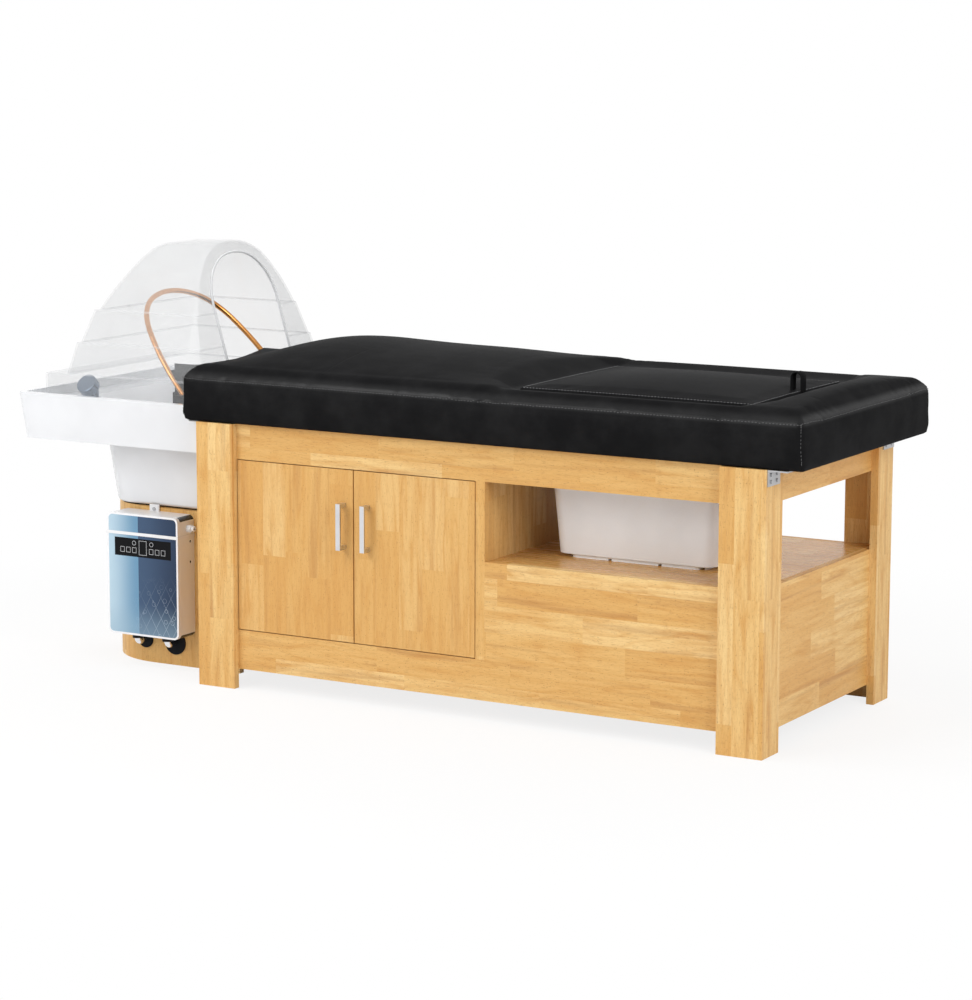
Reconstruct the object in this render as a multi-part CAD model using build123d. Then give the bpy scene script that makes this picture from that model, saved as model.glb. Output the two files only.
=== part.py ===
"""Hair washing bed: a wooden frame with a cupboard and an open bay, a leather mattress
with a hatch over a foot tub, and at the head end a wash basin on its own stand with a
tilting water hoop, a lift-off steam hood and a water heater.

Millimetres. X runs from the head end to the foot end, Y from the front to the back,
Z up from the floor. The parts are laid out with x = 0 at the outer face of the head
legs and moved at the end, so that the origin is on the floor under the middle.
"""
from build123d import *
import math
import os

os.makedirs("parts", exist_ok=True)

# Clearances shared by many pieces
gap = 0.5
running_gap = 0.05
overrun = 5

# Wooden frame
frame_length = 1375
frame_width = 650
frame_height = 590
board = 17
leg_face_head = 95
leg_face_foot = 103
leg_side = 79
panel_lift = 43
top_rail_height = 78
bottom_rail_top = 131
stile = 22
cupboard_end = 700
bay_floor = 341
bearer_width = 45
bearer_height = 30
bearer_shares = (0.175, 0.34, 0.955)

half_width = frame_width / 2
front_y = -half_width + board
inner_y = -front_y - board
head_x = board
foot_x = frame_length - board
rail_bottom = frame_height - top_rail_height
cupboard_start = leg_face_head
bay_start = cupboard_end + stile

# Cupboard doors, their hinges and handles
door_thick = 18
door_gap = 2
door_meeting = 397
door_meeting_gap = 3
hinge_inset = 70
cup_radius = 17.5
cup_depth = 12
cup_edge = 22
cup_flange_radius = 20
cup_flange = 1
hinge_plate = 3
hinge_plate_length = 30
hinge_plate_height = 40
hinge_arm_width = 14
hinge_arm_length = 50
hinge_arm_thick = 13
handle_length = 101
handle_reach = 26
handle_width = 11
handle_bar = 5
handle_post = 9
handle_height = 388
handle_left_inset = 24
handle_right_inset = 37
screw_head_radius = 4
screw_head_thick = 2

# Mattress, its board and its brackets
pad_head_overhang = 36
pad_foot_overhang = 83
pad_side_tuck = 4
pad_bulge_out = 16
pad_seam_out = 6
pad_bulge_z = 640
pad_seam_z = 689
pad_shoulder_in = 40
pad_shoulder_z = 711
pad_shoulder_mid_in = 13
pad_shoulder_mid_z = 703
pad_corner_radius = 18
pad_trim_top = 800
pad_end_tuck = 6
pad_end_seam_tuck = 4
pad_head_top = 713
crown_head = 706
crown_neck = 733
crown_high = 752
crown_back = 748
crown_middle = 743
crown_slope = 733
crown_hatch = 720
crown_neck_x = 80
crown_high_x = 200
crown_back_x = 320
crown_middle_x = 500
crown_slope_x = 626
crown_foot_shares = (0.25, 0.5, 0.75)
bed_board = 13
bed_board_inset = 16
bracket_width = 56
bracket_drop = 34
bracket_reach = 45
bracket_thick = 3
bracket_edge = 3
bracket_screw_radius = 2
bracket_screw_length = 14

pad_bottom_half = half_width - pad_side_tuck
pad_bulge_half = pad_bottom_half + pad_bulge_out
pad_seam_half = pad_bottom_half + pad_seam_out

# Hatch in the mattress
hatch_start = 752
hatch_end = 1302
hatch_half = 225
hatch_ledge = 25
hatch_side_gap = 3
hatch_end_gap = 4
hatch_end_tuck = 12
hatch_board_thick = 9
hatch_edge_z = 700
hatch_crown = 716
hatch_tuck = 8
hatch_roll = 22
hatch_roll_rise = 30
hatch_roll_corner = 2
flap_thick = 1.5
flap_drop = 60
loop_length = 26
loop_height = 52
loop_wall = 3
loop_width = 24
loop_sink = 6
loop_inset = 12
loop_y = 18

# Foot tub in the bay
tub_centre_x = 1000
tub_top_length = 406
tub_bottom_length = 370
tub_top_width = 360
tub_bottom_width = 332
tub_top = 575
tub_wall = 4
tub_radius = 28
tub_rim = 9
tub_base_length = 326
tub_base_width = 320
tub_base_height = 8
tub_base_wall = 12
tub_notch = 8
tub_notch_shares = (-0.47, -0.18, 0.18, 0.47)
tub_waste_radius = 16
tub_waste_wall = 2
tub_waste_flange = 30
tub_waste_end = 80
tub_spigot_radius = 15
tub_spigot_length = 30

# Wash basin: tray with deck and bowl in one piece, and the shell round the bowl
tray_head = -515
tray_bed_side = -3
tray_half = 300
tray_top = 620
tray_bottom = 514
tray_taper = 11
tray_corner = 14
tray_rim = 14
tray_wall = 10
deck_z = 598
deck_thick = 10
low_edge_x = -40
low_edge_z = 585
bowl_top_head = -440
bowl_top_bed = -172
bowl_top_half = 150
bowl_neck_z = 522
bowl_neck_head = -316
bowl_neck_bed = -180
bowl_neck_half = 140
bowl_floor_z = 400
bowl_floor_head = -300
bowl_floor_bed = -195
bowl_floor_half = 105
bowl_corner = 35
bowl_wall = 8
underpan_thick = 6
shell_top_head = -372
shell_top_half = 202
shell_bottom_head = -357
shell_bottom_half = 186
shell_bed_side = -5
shell_bottom = 365
shell_wall = 5
shell_corner = 78
shell_lip = 22
shell_round = 10
waste_radius = 20
waste_wall = 2.5
waste_flange_radius = 34
waste_flange_thick = 3
waste_end = 24
waste_spigot_radius = 19
waste_spigot_length = 40
waste_branch_z = 330
waste_branch_reach = 38
waste_slots = 6
waste_slot_radius = 3
waste_slot_ring = 12

# Stand under the bowl
stand_head = -398
stand_half = 190
stand_top = 362
stand_corner = 175
stand_wall = 15
stand_ring_thick = 12
stand_ring_width = 40
stand_ring_head_width = 68
seal_width = 14

# Water heater on the front of the stand
heater_left = -301
heater_right = -105
heater_bottom = 74
heater_top = 354
heater_depth = 64
heater_back_depth = 54
heater_corner = 14
heater_wall = 2.5
band_bottom = 305
band_height = 7
band_proud = 1.5
display_left = -280
display_right = -124
display_bottom = 256
display_top = 298
display_thick = 2
tab_left = -224
tab_right = -199
tab_height = 15
tab_thick = 5
tab_hole_radius = 2.5
tab_hole_drop = 10
tab_screw_length = 16
tank_radius = 23
tank_height = 140
tank_x = -240
pump_radius = 21
pump_height = 70
pump_base_radius = 25
pump_base_height = 18
pump_x = -160
internal_base = 92
circuit_thick = 1.6
circuit_inset = 12
circuit_bottom = 236
circuit_top = 330
gland_y = -214
gland_z = 326
gland_nut_radius = 9
gland_nut_length = 12
gland_tip_radius = 6
gland_tip_length = 7
gland_bore_radius = 3
gland_sides = 6
side_hole_radius = 3
side_hole_y = -205
side_hole_upper_z = 295
side_hole_lower_z = 248
elbow_left_x = -243
elbow_right_x = -160
elbow_y = -222
elbow_z = 53
elbow_radius = 8
elbow_bore = 5.5
elbow_bend = 10
elbow_tail_inside = 26
nut_radius = 12
nut_height = 12
grommet_left_radius = 20
grommet_right_radius = 28
grommet_hole_radius = 17
grommet_lip_thick = 3

# Hoses in the stand
hose_radius = 9
hose_bend = 15
feed_rise_y = -118
feed_turn_x = -125
feed_turn_z = 550
return_turn_y = -108

# Water hoop, neck rest and tap
hoop_tube_radius = 6
hoop_bore_radius = 4.8
hoop_plane_x = -133
hoop_plane_z = 637
hoop_lean_ratio = 0.85
hoop_rise = 261
hoop_crown_radius = 223
hoop_crown_angle = 19.7
hoop_corner_radius = 151
hoop_corner_angle = 47.2
hoop_leg_radius = 427
hoop_leg_angle = 27.2
collar_radius = 11
collar_half = 9
pin_radius = 5
pin_length = 16
foot_width = 28
foot_depth = 20
foot_height = 30
foot_spigot_radius = 8
foot_spigot_length = 28
neck_head = -160
neck_bed = -60
neck_half = 180
neck_top = 704
neck_dip = 26
neck_lip = 9
neck_lip_top = 678
neck_lip_bottom = 664
neck_foot_lip = 6
neck_foot_height = 30
tap_x = -384
tap_y = -186
tap_tilt = 50
tap_base_radius = 17
tap_base_height = 5
tap_neck_radius = 12
tap_neck_length = 24
tap_spindle_radius = 5
tap_spindle_length = 16
tap_tail_radius = 9
tap_tail_length = 26
knob_radius = 24
knob_depth = 24
knob_cap = 3
knob_flutes = 10
knob_flute_radius = 4
knob_offset = 1

# Steam hood
hood_wall = 3
hood_skirt_head = -478
hood_skirt_half = 240
hood_skirt_top = 660
hood_bed_side = -50
hood_lean_z = 700
hood_top_front = -128
hood_top = 961
hood_tier1_head = -420
hood_tier1_half = 235
hood_step1_z = 732
hood_step1_head = -398
hood_step1_half = 226
hood_tier2_head = -391
hood_tier2_half = 220
hood_step2_z = 806
hood_step2_head = -366
hood_step2_half = 200
hood_tier3_head = -357
hood_tier3_half = 194
hood_shoulder_z = 868
hood_shoulder_half = 163
hood_haunch_z = 928
hood_haunch_half = 112
hood_brow_z = 953
hood_brow_half = 60
hood_back_x = -284
hood_back_z = 934
hood_knee_x = -273
hood_knee_z = 949
hood_roof_x = -254
hood_roof_z = 954
arch_half = 128
arch_spring = 815
arch_haunch_half = 100
arch_haunch_z = 890
arch_top = 935
arch_depth = 110

origin_x = (tray_head + frame_length + pad_foot_overhang) / 2

nodes = {}


def keep(name, solid):
    """Store a finished part under its name, moved to the shared origin."""
    nodes[name] = Pos(-origin_x, 0, 0) * solid


def block(x, y, z):
    """Box between the two ends given on each axis."""
    ends = (x, y, z)
    size = [high - low for low, high in ends]
    middle = [(high + low) / 2 for low, high in ends]
    return Pos(*middle) * Box(*size)


def rod(start, end, radius):
    """Round bar from one point to another."""
    axis = Vector(*end) - Vector(*start)
    plane = Plane(origin=start, z_dir=axis)
    return extrude(plane * Circle(radius), axis.length)


def pipe(start, end, radius, bore):
    """Round bar with a hole right along it."""
    axis = (Vector(*end) - Vector(*start)).normalized() * overrun
    hole = rod(Vector(*start) - axis, Vector(*end) + axis, bore)
    return rod(start, end, radius) - hole


def rounded_slab(x, y, z_plane, corner):
    """Flat rectangle with round corners at one height, for lofts and plates."""
    centre = Pos((x[0] + x[1]) / 2, (y[0] + y[1]) / 2, z_plane)
    return centre * RectangleRounded(x[1] - x[0], y[1] - y[0], corner)


def rounded_block(x, y, z, corner):
    return extrude(rounded_slab(x, y, z[0], corner), z[1] - z[0])


def taper(low, low_z, high, high_z, low_corner, high_corner):
    """Solid between two round-cornered rectangles at two heights."""
    return loft([rounded_slab(*low, low_z, low_corner), rounded_slab(*high, high_z, high_corner)])


def both(half):
    return (-half, half)


def opposite(solid):
    """The same piece on the other side of the bed's long centre plane."""
    return mirror(solid, about=Plane.XZ)


def hose(points, radius, bore, bend):
    """Hose along straight runs joined by round bends."""
    path = FilletPolyline(*points, radius=bend)
    section = Plane(origin=path @ 0, z_dir=path % 0) * (Circle(radius) - Circle(bore))
    return sweep(section, path=path)


def leg(face_width, at_foot, at_back):
    """Corner post of two boards: a wide one on the long side and a narrow one on the end."""
    face = block((0, face_width), (-half_width, front_y), (0, frame_height))
    side = block((0, board), (-half_width, -half_width + leg_side), (0, frame_height))
    post = face + side
    if at_foot:
        post = Pos(frame_length, 0, 0) * mirror(post, about=Plane.YZ)
    return opposite(post) if at_back else post


def upright(x):
    """Cupboard side: a full-depth board with a tongue forward between the rails."""
    deep = block(x, both(inner_y), (panel_lift, frame_height))
    tongue = block(x, (front_y, -inner_y), (bottom_rail_top, rail_bottom))
    return deep + tongue


def make_frame():
    front = (front_y, -inner_y)
    top_rail = block((head_x, foot_x), front, (rail_bottom, frame_height))
    keep("front_top_rail", top_rail)
    keep("rear_top_rail", opposite(top_rail))
    keep("front_bottom_rail", block((head_x, bay_start), front, (panel_lift, bottom_rail_top)))
    keep("cupboard_back", block((head_x, bay_start), (inner_y, -front_y), (panel_lift, rail_bottom)))
    low_panel = block((bay_start, foot_x), front, (panel_lift, bay_floor))
    keep("front_lower_panel", low_panel)
    keep("rear_lower_panel", opposite(low_panel))
    ends = both(inner_y)
    keep("head_panel", block((head_x, head_x + board), ends, (panel_lift, frame_height)))
    keep("foot_top_rail", block((foot_x - board, foot_x), ends, (rail_bottom, frame_height)))
    keep("foot_lower_panel", block((foot_x - board, foot_x), ends, (panel_lift, bay_floor)))
    keep("cupboard_side", upright((cupboard_start - board, cupboard_start)))
    keep("cupboard_divider", upright((cupboard_end, bay_start)))
    floor_z = (bottom_rail_top - board, bottom_rail_top)
    keep("cupboard_floor", block((cupboard_start, cupboard_end), ends, floor_z))
    shelf = block((bay_start, foot_x - board), ends, (bay_floor - board, bay_floor))
    keep("bay_shelf", shelf - tub_waste_bore())
    bearers = []
    for share in bearer_shares:
        middle = frame_length * share
        width = (middle - bearer_width / 2, middle + bearer_width / 2)
        bearers.append(block(width, ends, (frame_height - bearer_height, frame_height)))
    keep("bearers", Compound(bearers))


def bracket(at_back):
    """Steel angle that ties the mattress overhang to a foot leg."""
    y = (-half_width + bracket_edge, -half_width + bracket_edge + bracket_width)
    plate_x = (frame_length, frame_length + bracket_thick)
    plate = block(plate_x, y, (frame_height - bracket_drop, frame_height))
    shelf_z = (frame_height - bracket_thick, frame_height)
    angle = plate + block((frame_length, frame_length + bracket_reach), y, shelf_z)
    return opposite(angle) if at_back else angle


def bracket_screws(at_back):
    """Four screws into the leg and two up into the mattress board."""
    near = -half_width + bracket_edge
    wide_places = (near + bracket_width / 4, near + bracket_width * 3 / 4)
    low = frame_height - bracket_drop * 3 / 4
    high = frame_height - bracket_drop / 3
    face_x = frame_length + bracket_thick
    screws = []
    for y in wide_places:
        for z in (low, high):
            shank = rod((face_x, y, z), (face_x - bracket_screw_length, y, z), bracket_screw_radius)
            head = rod((face_x, y, z), (face_x + screw_head_thick, y, z), screw_head_radius)
            screws.append(shank + head)
        x = frame_length + bracket_reach / 2
        under = frame_height - bracket_thick
        shank = rod((x, y, under), (x, y, under + bracket_screw_length), bracket_screw_radius)
        head = rod((x, y, under), (x, y, under - screw_head_thick), screw_head_radius)
        screws.append(shank + head)
    return [opposite(screw) for screw in screws] if at_back else screws


def cut_all(solid, cutters):
    for cutter in cutters:
        solid = solid - cutter
    return solid


def make_legs_and_brackets():
    keep("leg_head_front", leg(leg_face_head, False, False))
    keep("leg_head_rear", leg(leg_face_head, False, True))
    screws = bracket_screws(False) + bracket_screws(True)
    keep("leg_foot_front", cut_all(leg(leg_face_foot, True, False), screws))
    keep("leg_foot_rear", cut_all(leg(leg_face_foot, True, True), screws))
    keep("foot_brackets", Compound([cut_all(bracket(False), screws), cut_all(bracket(True), screws)]))
    keep("fixing_screws", Compound(screws + [tab_screw()]))
    return screws


def handle(x):
    """Bridge pull: a flat bar on two posts."""
    low = handle_height - handle_length / 2
    high = handle_height + handle_length / 2
    wide = (x - handle_width / 2, x + handle_width / 2)
    reach_y = front_y - handle_reach
    bar = block(wide, (reach_y, reach_y + handle_bar), (low, high))
    lower_post = block(wide, (reach_y, front_y), (low, low + handle_post))
    upper_post = block(wide, (reach_y, front_y), (high - handle_post, high))
    return bar + lower_post + upper_post


def hinge_cup(x, back_y, z):
    """Open cup sunk in the back of a door, with a thin flange round it."""
    cup = rod((x, back_y, z), (x, back_y - cup_depth, z), cup_radius)
    flange = rod((x, back_y, z), (x, back_y + cup_flange, z), cup_flange_radius)
    hollow_end = back_y - cup_depth + cup_flange
    return cup + flange - rod((x, back_y + overrun, z), (x, hollow_end, z), cup_radius - cup_flange)


def hinge_arm(panel_x, into, back_y, z):
    """Arm and mounting plate on the cupboard's side, ending just short of the cup."""
    near_y = back_y + cup_flange + gap
    far_y = near_y + hinge_arm_length
    plate_x = sorted((panel_x, panel_x + into * hinge_plate))
    arm_x = sorted((panel_x + into * hinge_plate, panel_x + into * (hinge_plate + hinge_arm_thick)))
    tall = (z - hinge_plate_height / 2, z + hinge_plate_height / 2)
    slim = (z - hinge_arm_width / 2, z + hinge_arm_width / 2)
    return block(plate_x, (far_y - hinge_plate_length, far_y), tall) + block(arm_x, (near_y, far_y), slim)


def make_door(side, x, hinge_x, meeting_x, into):
    """One door with its handle and cup hinges. into points from hinge to meeting edge."""
    z = (bottom_rail_top + door_gap, rail_bottom - door_gap)
    back_y = front_y + door_thick
    leaf = block(x, (front_y, back_y), z)
    cup_x = hinge_x + into * cup_edge
    panel_x = cupboard_start if side == "left" else cupboard_end
    cups = []
    arms = []
    for cup_z in (z[0] + hinge_inset, z[1] - hinge_inset):
        leaf = leaf - rod((cup_x, back_y, cup_z), (cup_x, back_y - cup_depth, cup_z), cup_radius)
        cups.append(hinge_cup(cup_x, back_y, cup_z))
        arms.append(hinge_arm(panel_x, into, back_y, cup_z))
    inset = handle_left_inset if side == "left" else handle_right_inset
    keep(f"door_{side}", leaf)
    keep(f"handle_{side}", handle(meeting_x - into * inset))
    keep(f"hinge_cups_{side}", Compound(cups))
    return arms


def make_doors():
    left = (cupboard_start + door_gap, door_meeting - door_meeting_gap / 2)
    right = (door_meeting + door_meeting_gap / 2, cupboard_end - door_gap)
    arms = make_door("left", left, left[0], door_meeting, 1)
    arms += make_door("right", right, right[1], door_meeting, -1)
    keep("hinge_arms", Compound(arms))


def pad_section(x, crown, seam_half=pad_seam_half, inset=0):
    """Cross-section of the mattress: flat below, bulging sides, rolled edges, crowned top."""
    bottom = pad_bottom_half - inset
    seam = seam_half - inset
    shoulder = seam - pad_shoulder_in
    roll = (seam - pad_shoulder_mid_in, pad_shoulder_mid_z)
    edges = [
        Line((-bottom, frame_height), (bottom, frame_height)),
        ThreePointArc((bottom, frame_height), (pad_bulge_half - inset, pad_bulge_z), (seam, pad_seam_z)),
        ThreePointArc((seam, pad_seam_z), roll, (shoulder, pad_shoulder_z)),
        ThreePointArc((shoulder, pad_shoulder_z), (0, crown), (-shoulder, pad_shoulder_z)),
        ThreePointArc((-shoulder, pad_shoulder_z), (-roll[0], roll[1]), (-seam, pad_seam_z)),
        ThreePointArc((-seam, pad_seam_z), (-pad_bulge_half + inset, pad_bulge_z), (-bottom, frame_height)),
    ]
    return Plane(origin=(x, 0, 0), x_dir=(0, 1, 0), z_dir=(1, 0, 0)) * make_face(Curve() + edges)


def pad_end(end, inward, top_z):
    """Points down one rounded end of the mattress, from its top edge to its bottom."""
    seam_x = end + inward * pad_end_seam_tuck
    return (
        (seam_x + inward * pad_shoulder_in * 3 / 4, top_z),
        (seam_x + inward * pad_shoulder_mid_in, pad_shoulder_mid_z),
        (seam_x, pad_seam_z),
        (end, pad_bulge_z),
        (end + inward * pad_end_tuck, frame_height),
    )


def pad_end_profile():
    """Side view that rounds the two ends of the mattress."""
    head_top, head_roll, head_seam, head_bulge, head_low = pad_end(-pad_head_overhang, 1, pad_head_top)
    foot_end = frame_length + pad_foot_overhang
    foot_top, foot_roll, foot_seam, foot_bulge, foot_low = pad_end(foot_end, -1, crown_hatch)
    head_trim = (head_top[0], pad_trim_top)
    foot_trim = (foot_top[0], pad_trim_top)
    edges = [
        Line(head_low, foot_low),
        ThreePointArc(foot_low, foot_bulge, foot_seam),
        ThreePointArc(foot_seam, foot_roll, foot_top),
        Line(foot_top, foot_trim),
        Line(foot_trim, head_trim),
        Line(head_trim, head_top),
        ThreePointArc(head_top, head_roll, head_seam),
        ThreePointArc(head_seam, head_bulge, head_low),
    ]
    return extrude(Plane.XZ * make_face(Curve() + edges), pad_bulge_half + overrun, both=True)


def bed_board_block():
    x = (-pad_head_overhang + bed_board_inset, frame_length + pad_foot_overhang - bed_board_inset)
    y = both(pad_bottom_half - bed_board_inset + pad_end_tuck)
    return block(x, y, (frame_height, frame_height + bed_board))


def make_mattress(screws):
    head = -pad_head_overhang - overrun
    foot = frame_length + pad_foot_overhang + overrun
    stations = (
        (head, crown_head),
        (crown_neck_x, crown_neck),
        (crown_high_x, crown_high),
        (crown_back_x, crown_back),
        (crown_middle_x, crown_middle),
        (crown_slope_x, crown_slope),
        (hatch_start, crown_hatch),
    )
    level = [(hatch_start + (foot - hatch_start) * share, crown_hatch) for share in crown_foot_shares]
    stations = list(stations) + level + [(foot, crown_hatch)]
    pad = loft([pad_section(x, crown) for x, crown in stations])
    pad = pad & pad_end_profile()
    x = (-pad_head_overhang, frame_length + pad_foot_overhang)
    pad_z = (frame_height - overrun, pad_trim_top)
    pad = pad & rounded_block(x, both(pad_bulge_half), pad_z, pad_corner_radius)
    opening = block((hatch_start, hatch_end), both(hatch_half), (frame_height - overrun, pad_trim_top))
    roll = taper(
        ((hatch_start, hatch_end), both(hatch_half)),
        hatch_edge_z,
        ((hatch_start - hatch_roll, hatch_end + hatch_roll), both(hatch_half + hatch_roll)),
        hatch_edge_z + hatch_roll_rise,
        hatch_roll_corner,
        hatch_roll_corner + hatch_roll,
    )
    keep("mattress_pad", cut_all(pad - opening - roll - bed_board_block(), screws))
    well = block(
        (hatch_start + hatch_ledge, hatch_end - hatch_ledge),
        both(hatch_half - hatch_ledge),
        (frame_height - overrun, frame_height + bed_board + overrun),
    )
    keep("mattress_board", cut_all(bed_board_block() - well, screws))


def hatch_section(x, low_z, crown):
    """Cross-section of the hatch cushion with its own low crown."""
    half = hatch_half - hatch_side_gap
    low = half - hatch_tuck / 2
    seam = half - hatch_tuck / 4
    waist_z = (low_z + hatch_edge_z) / 2
    edges = [
        Line((-low, low_z), (low, low_z)),
        ThreePointArc((low, low_z), (half, waist_z), (seam, hatch_edge_z)),
        ThreePointArc((seam, hatch_edge_z), (0, crown), (-seam, hatch_edge_z)),
        ThreePointArc((-seam, hatch_edge_z), (-half, waist_z), (-low, low_z)),
    ]
    return Plane(origin=(x, 0, 0), x_dir=(0, 1, 0), z_dir=(1, 0, 0)) * make_face(Curve() + edges)


def pull_loop(x, z):
    """Leather strap bent into a standing loop, a little behind the centre line."""
    outer = SlotOverall(loop_height, loop_length, rotation=90)
    inner = SlotOverall(loop_height - 2 * loop_wall, loop_length - 2 * loop_wall, rotation=90)
    ring = Plane(origin=(x, loop_y, z), x_dir=(1, 0, 0), z_dir=(0, -1, 0)) * (outer - inner)
    return extrude(ring, loop_width / 2, both=True)


def make_hatch():
    """Padded lid hinged at its head end. The flap is the leather that joins it to the mattress."""
    start = hatch_start + gap / 2 + flap_thick
    foot = hatch_end - hatch_end_gap
    rest_z = frame_height + bed_board
    base_end = foot - hatch_end_tuck
    board_y = both(hatch_half - hatch_side_gap - hatch_tuck)
    board_z = (rest_z, rest_z + hatch_board_thick)
    keep("hatch_board", block((start, base_end - hatch_tuck), board_y, board_z))

    middle = (start + foot) / 2
    stations = ((start, hatch_edge_z + gap), (middle, hatch_crown), (foot, hatch_edge_z + gap))
    cushion = loft([hatch_section(x, board_z[1], crown) for x, crown in stations])
    slope = Polyline(
        (start, board_z[1]),
        (base_end, board_z[1]),
        (foot, hatch_edge_z),
        (foot, pad_trim_top),
        (start, pad_trim_top),
        close=True,
    )
    cushion = cushion & extrude(Plane.XZ * make_face(slope), hatch_half, both=True)
    loop = pull_loop(foot - loop_inset, hatch_edge_z + loop_height / 2 - loop_sink)
    flap = block((hatch_start + gap / 2, start), board_y, (hatch_edge_z - flap_drop, hatch_edge_z))
    keep("hatch_pad", cushion + flap - loop)
    keep("hatch_loop", loop)


def tub_waste_bore():
    """Way for the tub's waste through its floor and the bay shelf."""
    start_z = bay_floor + tub_base_height + overrun
    end_z = bay_floor - board - overrun
    return rod((tub_centre_x, 0, start_z), (tub_centre_x, 0, end_z), tub_waste_radius)


def around(length, width):
    """Length and width ranges centred on the tub."""
    return (tub_centre_x - length / 2, tub_centre_x + length / 2), both(width / 2)


def make_tub():
    bottom = bay_floor + tub_base_height
    low = around(tub_bottom_length, tub_bottom_width)
    high = around(tub_top_length, tub_top_width)
    outer = taper(low, bottom, high, tub_top, tub_radius, tub_radius)
    rim_size = around(tub_top_length + 2 * tub_rim, tub_top_width + 2 * tub_rim)
    rim = rounded_block(*rim_size, (tub_top - tub_wall, tub_top), tub_radius + tub_rim)
    inside = taper(
        around(tub_bottom_length - 2 * tub_wall, tub_bottom_width - 2 * tub_wall),
        bottom + tub_wall,
        around(tub_top_length - tub_wall, tub_top_width - tub_wall),
        tub_top + overrun,
        tub_radius - tub_wall,
        tub_radius - tub_wall,
    )
    base_z = (bay_floor, bottom)
    skirt = rounded_block(*around(tub_base_length, tub_base_width), base_z, tub_radius)
    clear = around(tub_base_length - 2 * tub_base_wall, tub_base_width - 2 * tub_base_wall)
    clear_z = (bay_floor - overrun, bottom + overrun)
    skirt = skirt - rounded_block(*clear, clear_z, tub_radius - tub_base_wall)
    notch_y = both(tub_base_width / 2 + overrun)
    for x_share in tub_notch_shares:
        x = tub_centre_x + tub_base_length * x_share
        notch_x = (x - tub_notch / 2, x + tub_notch / 2)
        skirt = skirt - block(notch_x, notch_y, (bay_floor - overrun, bay_floor + tub_notch / 2))
    keep("foot_tub", outer + skirt + rim - inside - tub_waste_bore())

    flange_z = bottom + tub_wall
    flange = rod((tub_centre_x, 0, flange_z), (tub_centre_x, 0, flange_z + tub_waste_wall), tub_waste_flange)
    step_z = tub_waste_end + tub_spigot_length
    tail = rod((tub_centre_x, 0, flange_z + tub_waste_wall), (tub_centre_x, 0, step_z), tub_waste_radius)
    spigot = rod((tub_centre_x, 0, step_z), (tub_centre_x, 0, tub_waste_end), tub_spigot_radius)
    hole_start = (tub_centre_x, 0, flange_z + overrun)
    hole_end = (tub_centre_x, 0, tub_waste_end - overrun)
    keep("tub_waste", flange + tail + spigot - rod(hole_start, hole_end, tub_spigot_radius - tub_waste_wall))


def bowl_shape(grow):
    """Space of the bowl, or with grow the outside of its wall."""
    top = (bowl_top_head - grow, bowl_top_bed + grow), both(bowl_top_half + grow)
    neck = (bowl_neck_head - grow, bowl_neck_bed + grow), both(bowl_neck_half + grow)
    floor = (bowl_floor_head - grow, bowl_floor_bed + grow), both(bowl_floor_half + grow)
    corner = bowl_corner + grow
    top_z = deck_z if grow else deck_z + overrun
    upper = taper(neck, bowl_neck_z, top, top_z, corner, corner)
    lower = taper(floor, bowl_floor_z - grow, neck, bowl_neck_z, corner, corner)
    return upper + lower


def bowl_centre_x():
    return (bowl_floor_head + bowl_floor_bed) / 2


def tray_ring(inset):
    """The tray's tapered block, inset evenly from its outer faces."""
    low = (tray_head + tray_taper + inset, tray_bed_side - inset), both(tray_half - tray_taper - inset)
    high = (tray_head + inset, tray_bed_side - inset), both(tray_half - inset)
    corner = tray_corner - inset / 2
    return taper(low, tray_bottom, high, tray_top, corner, corner)


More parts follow.
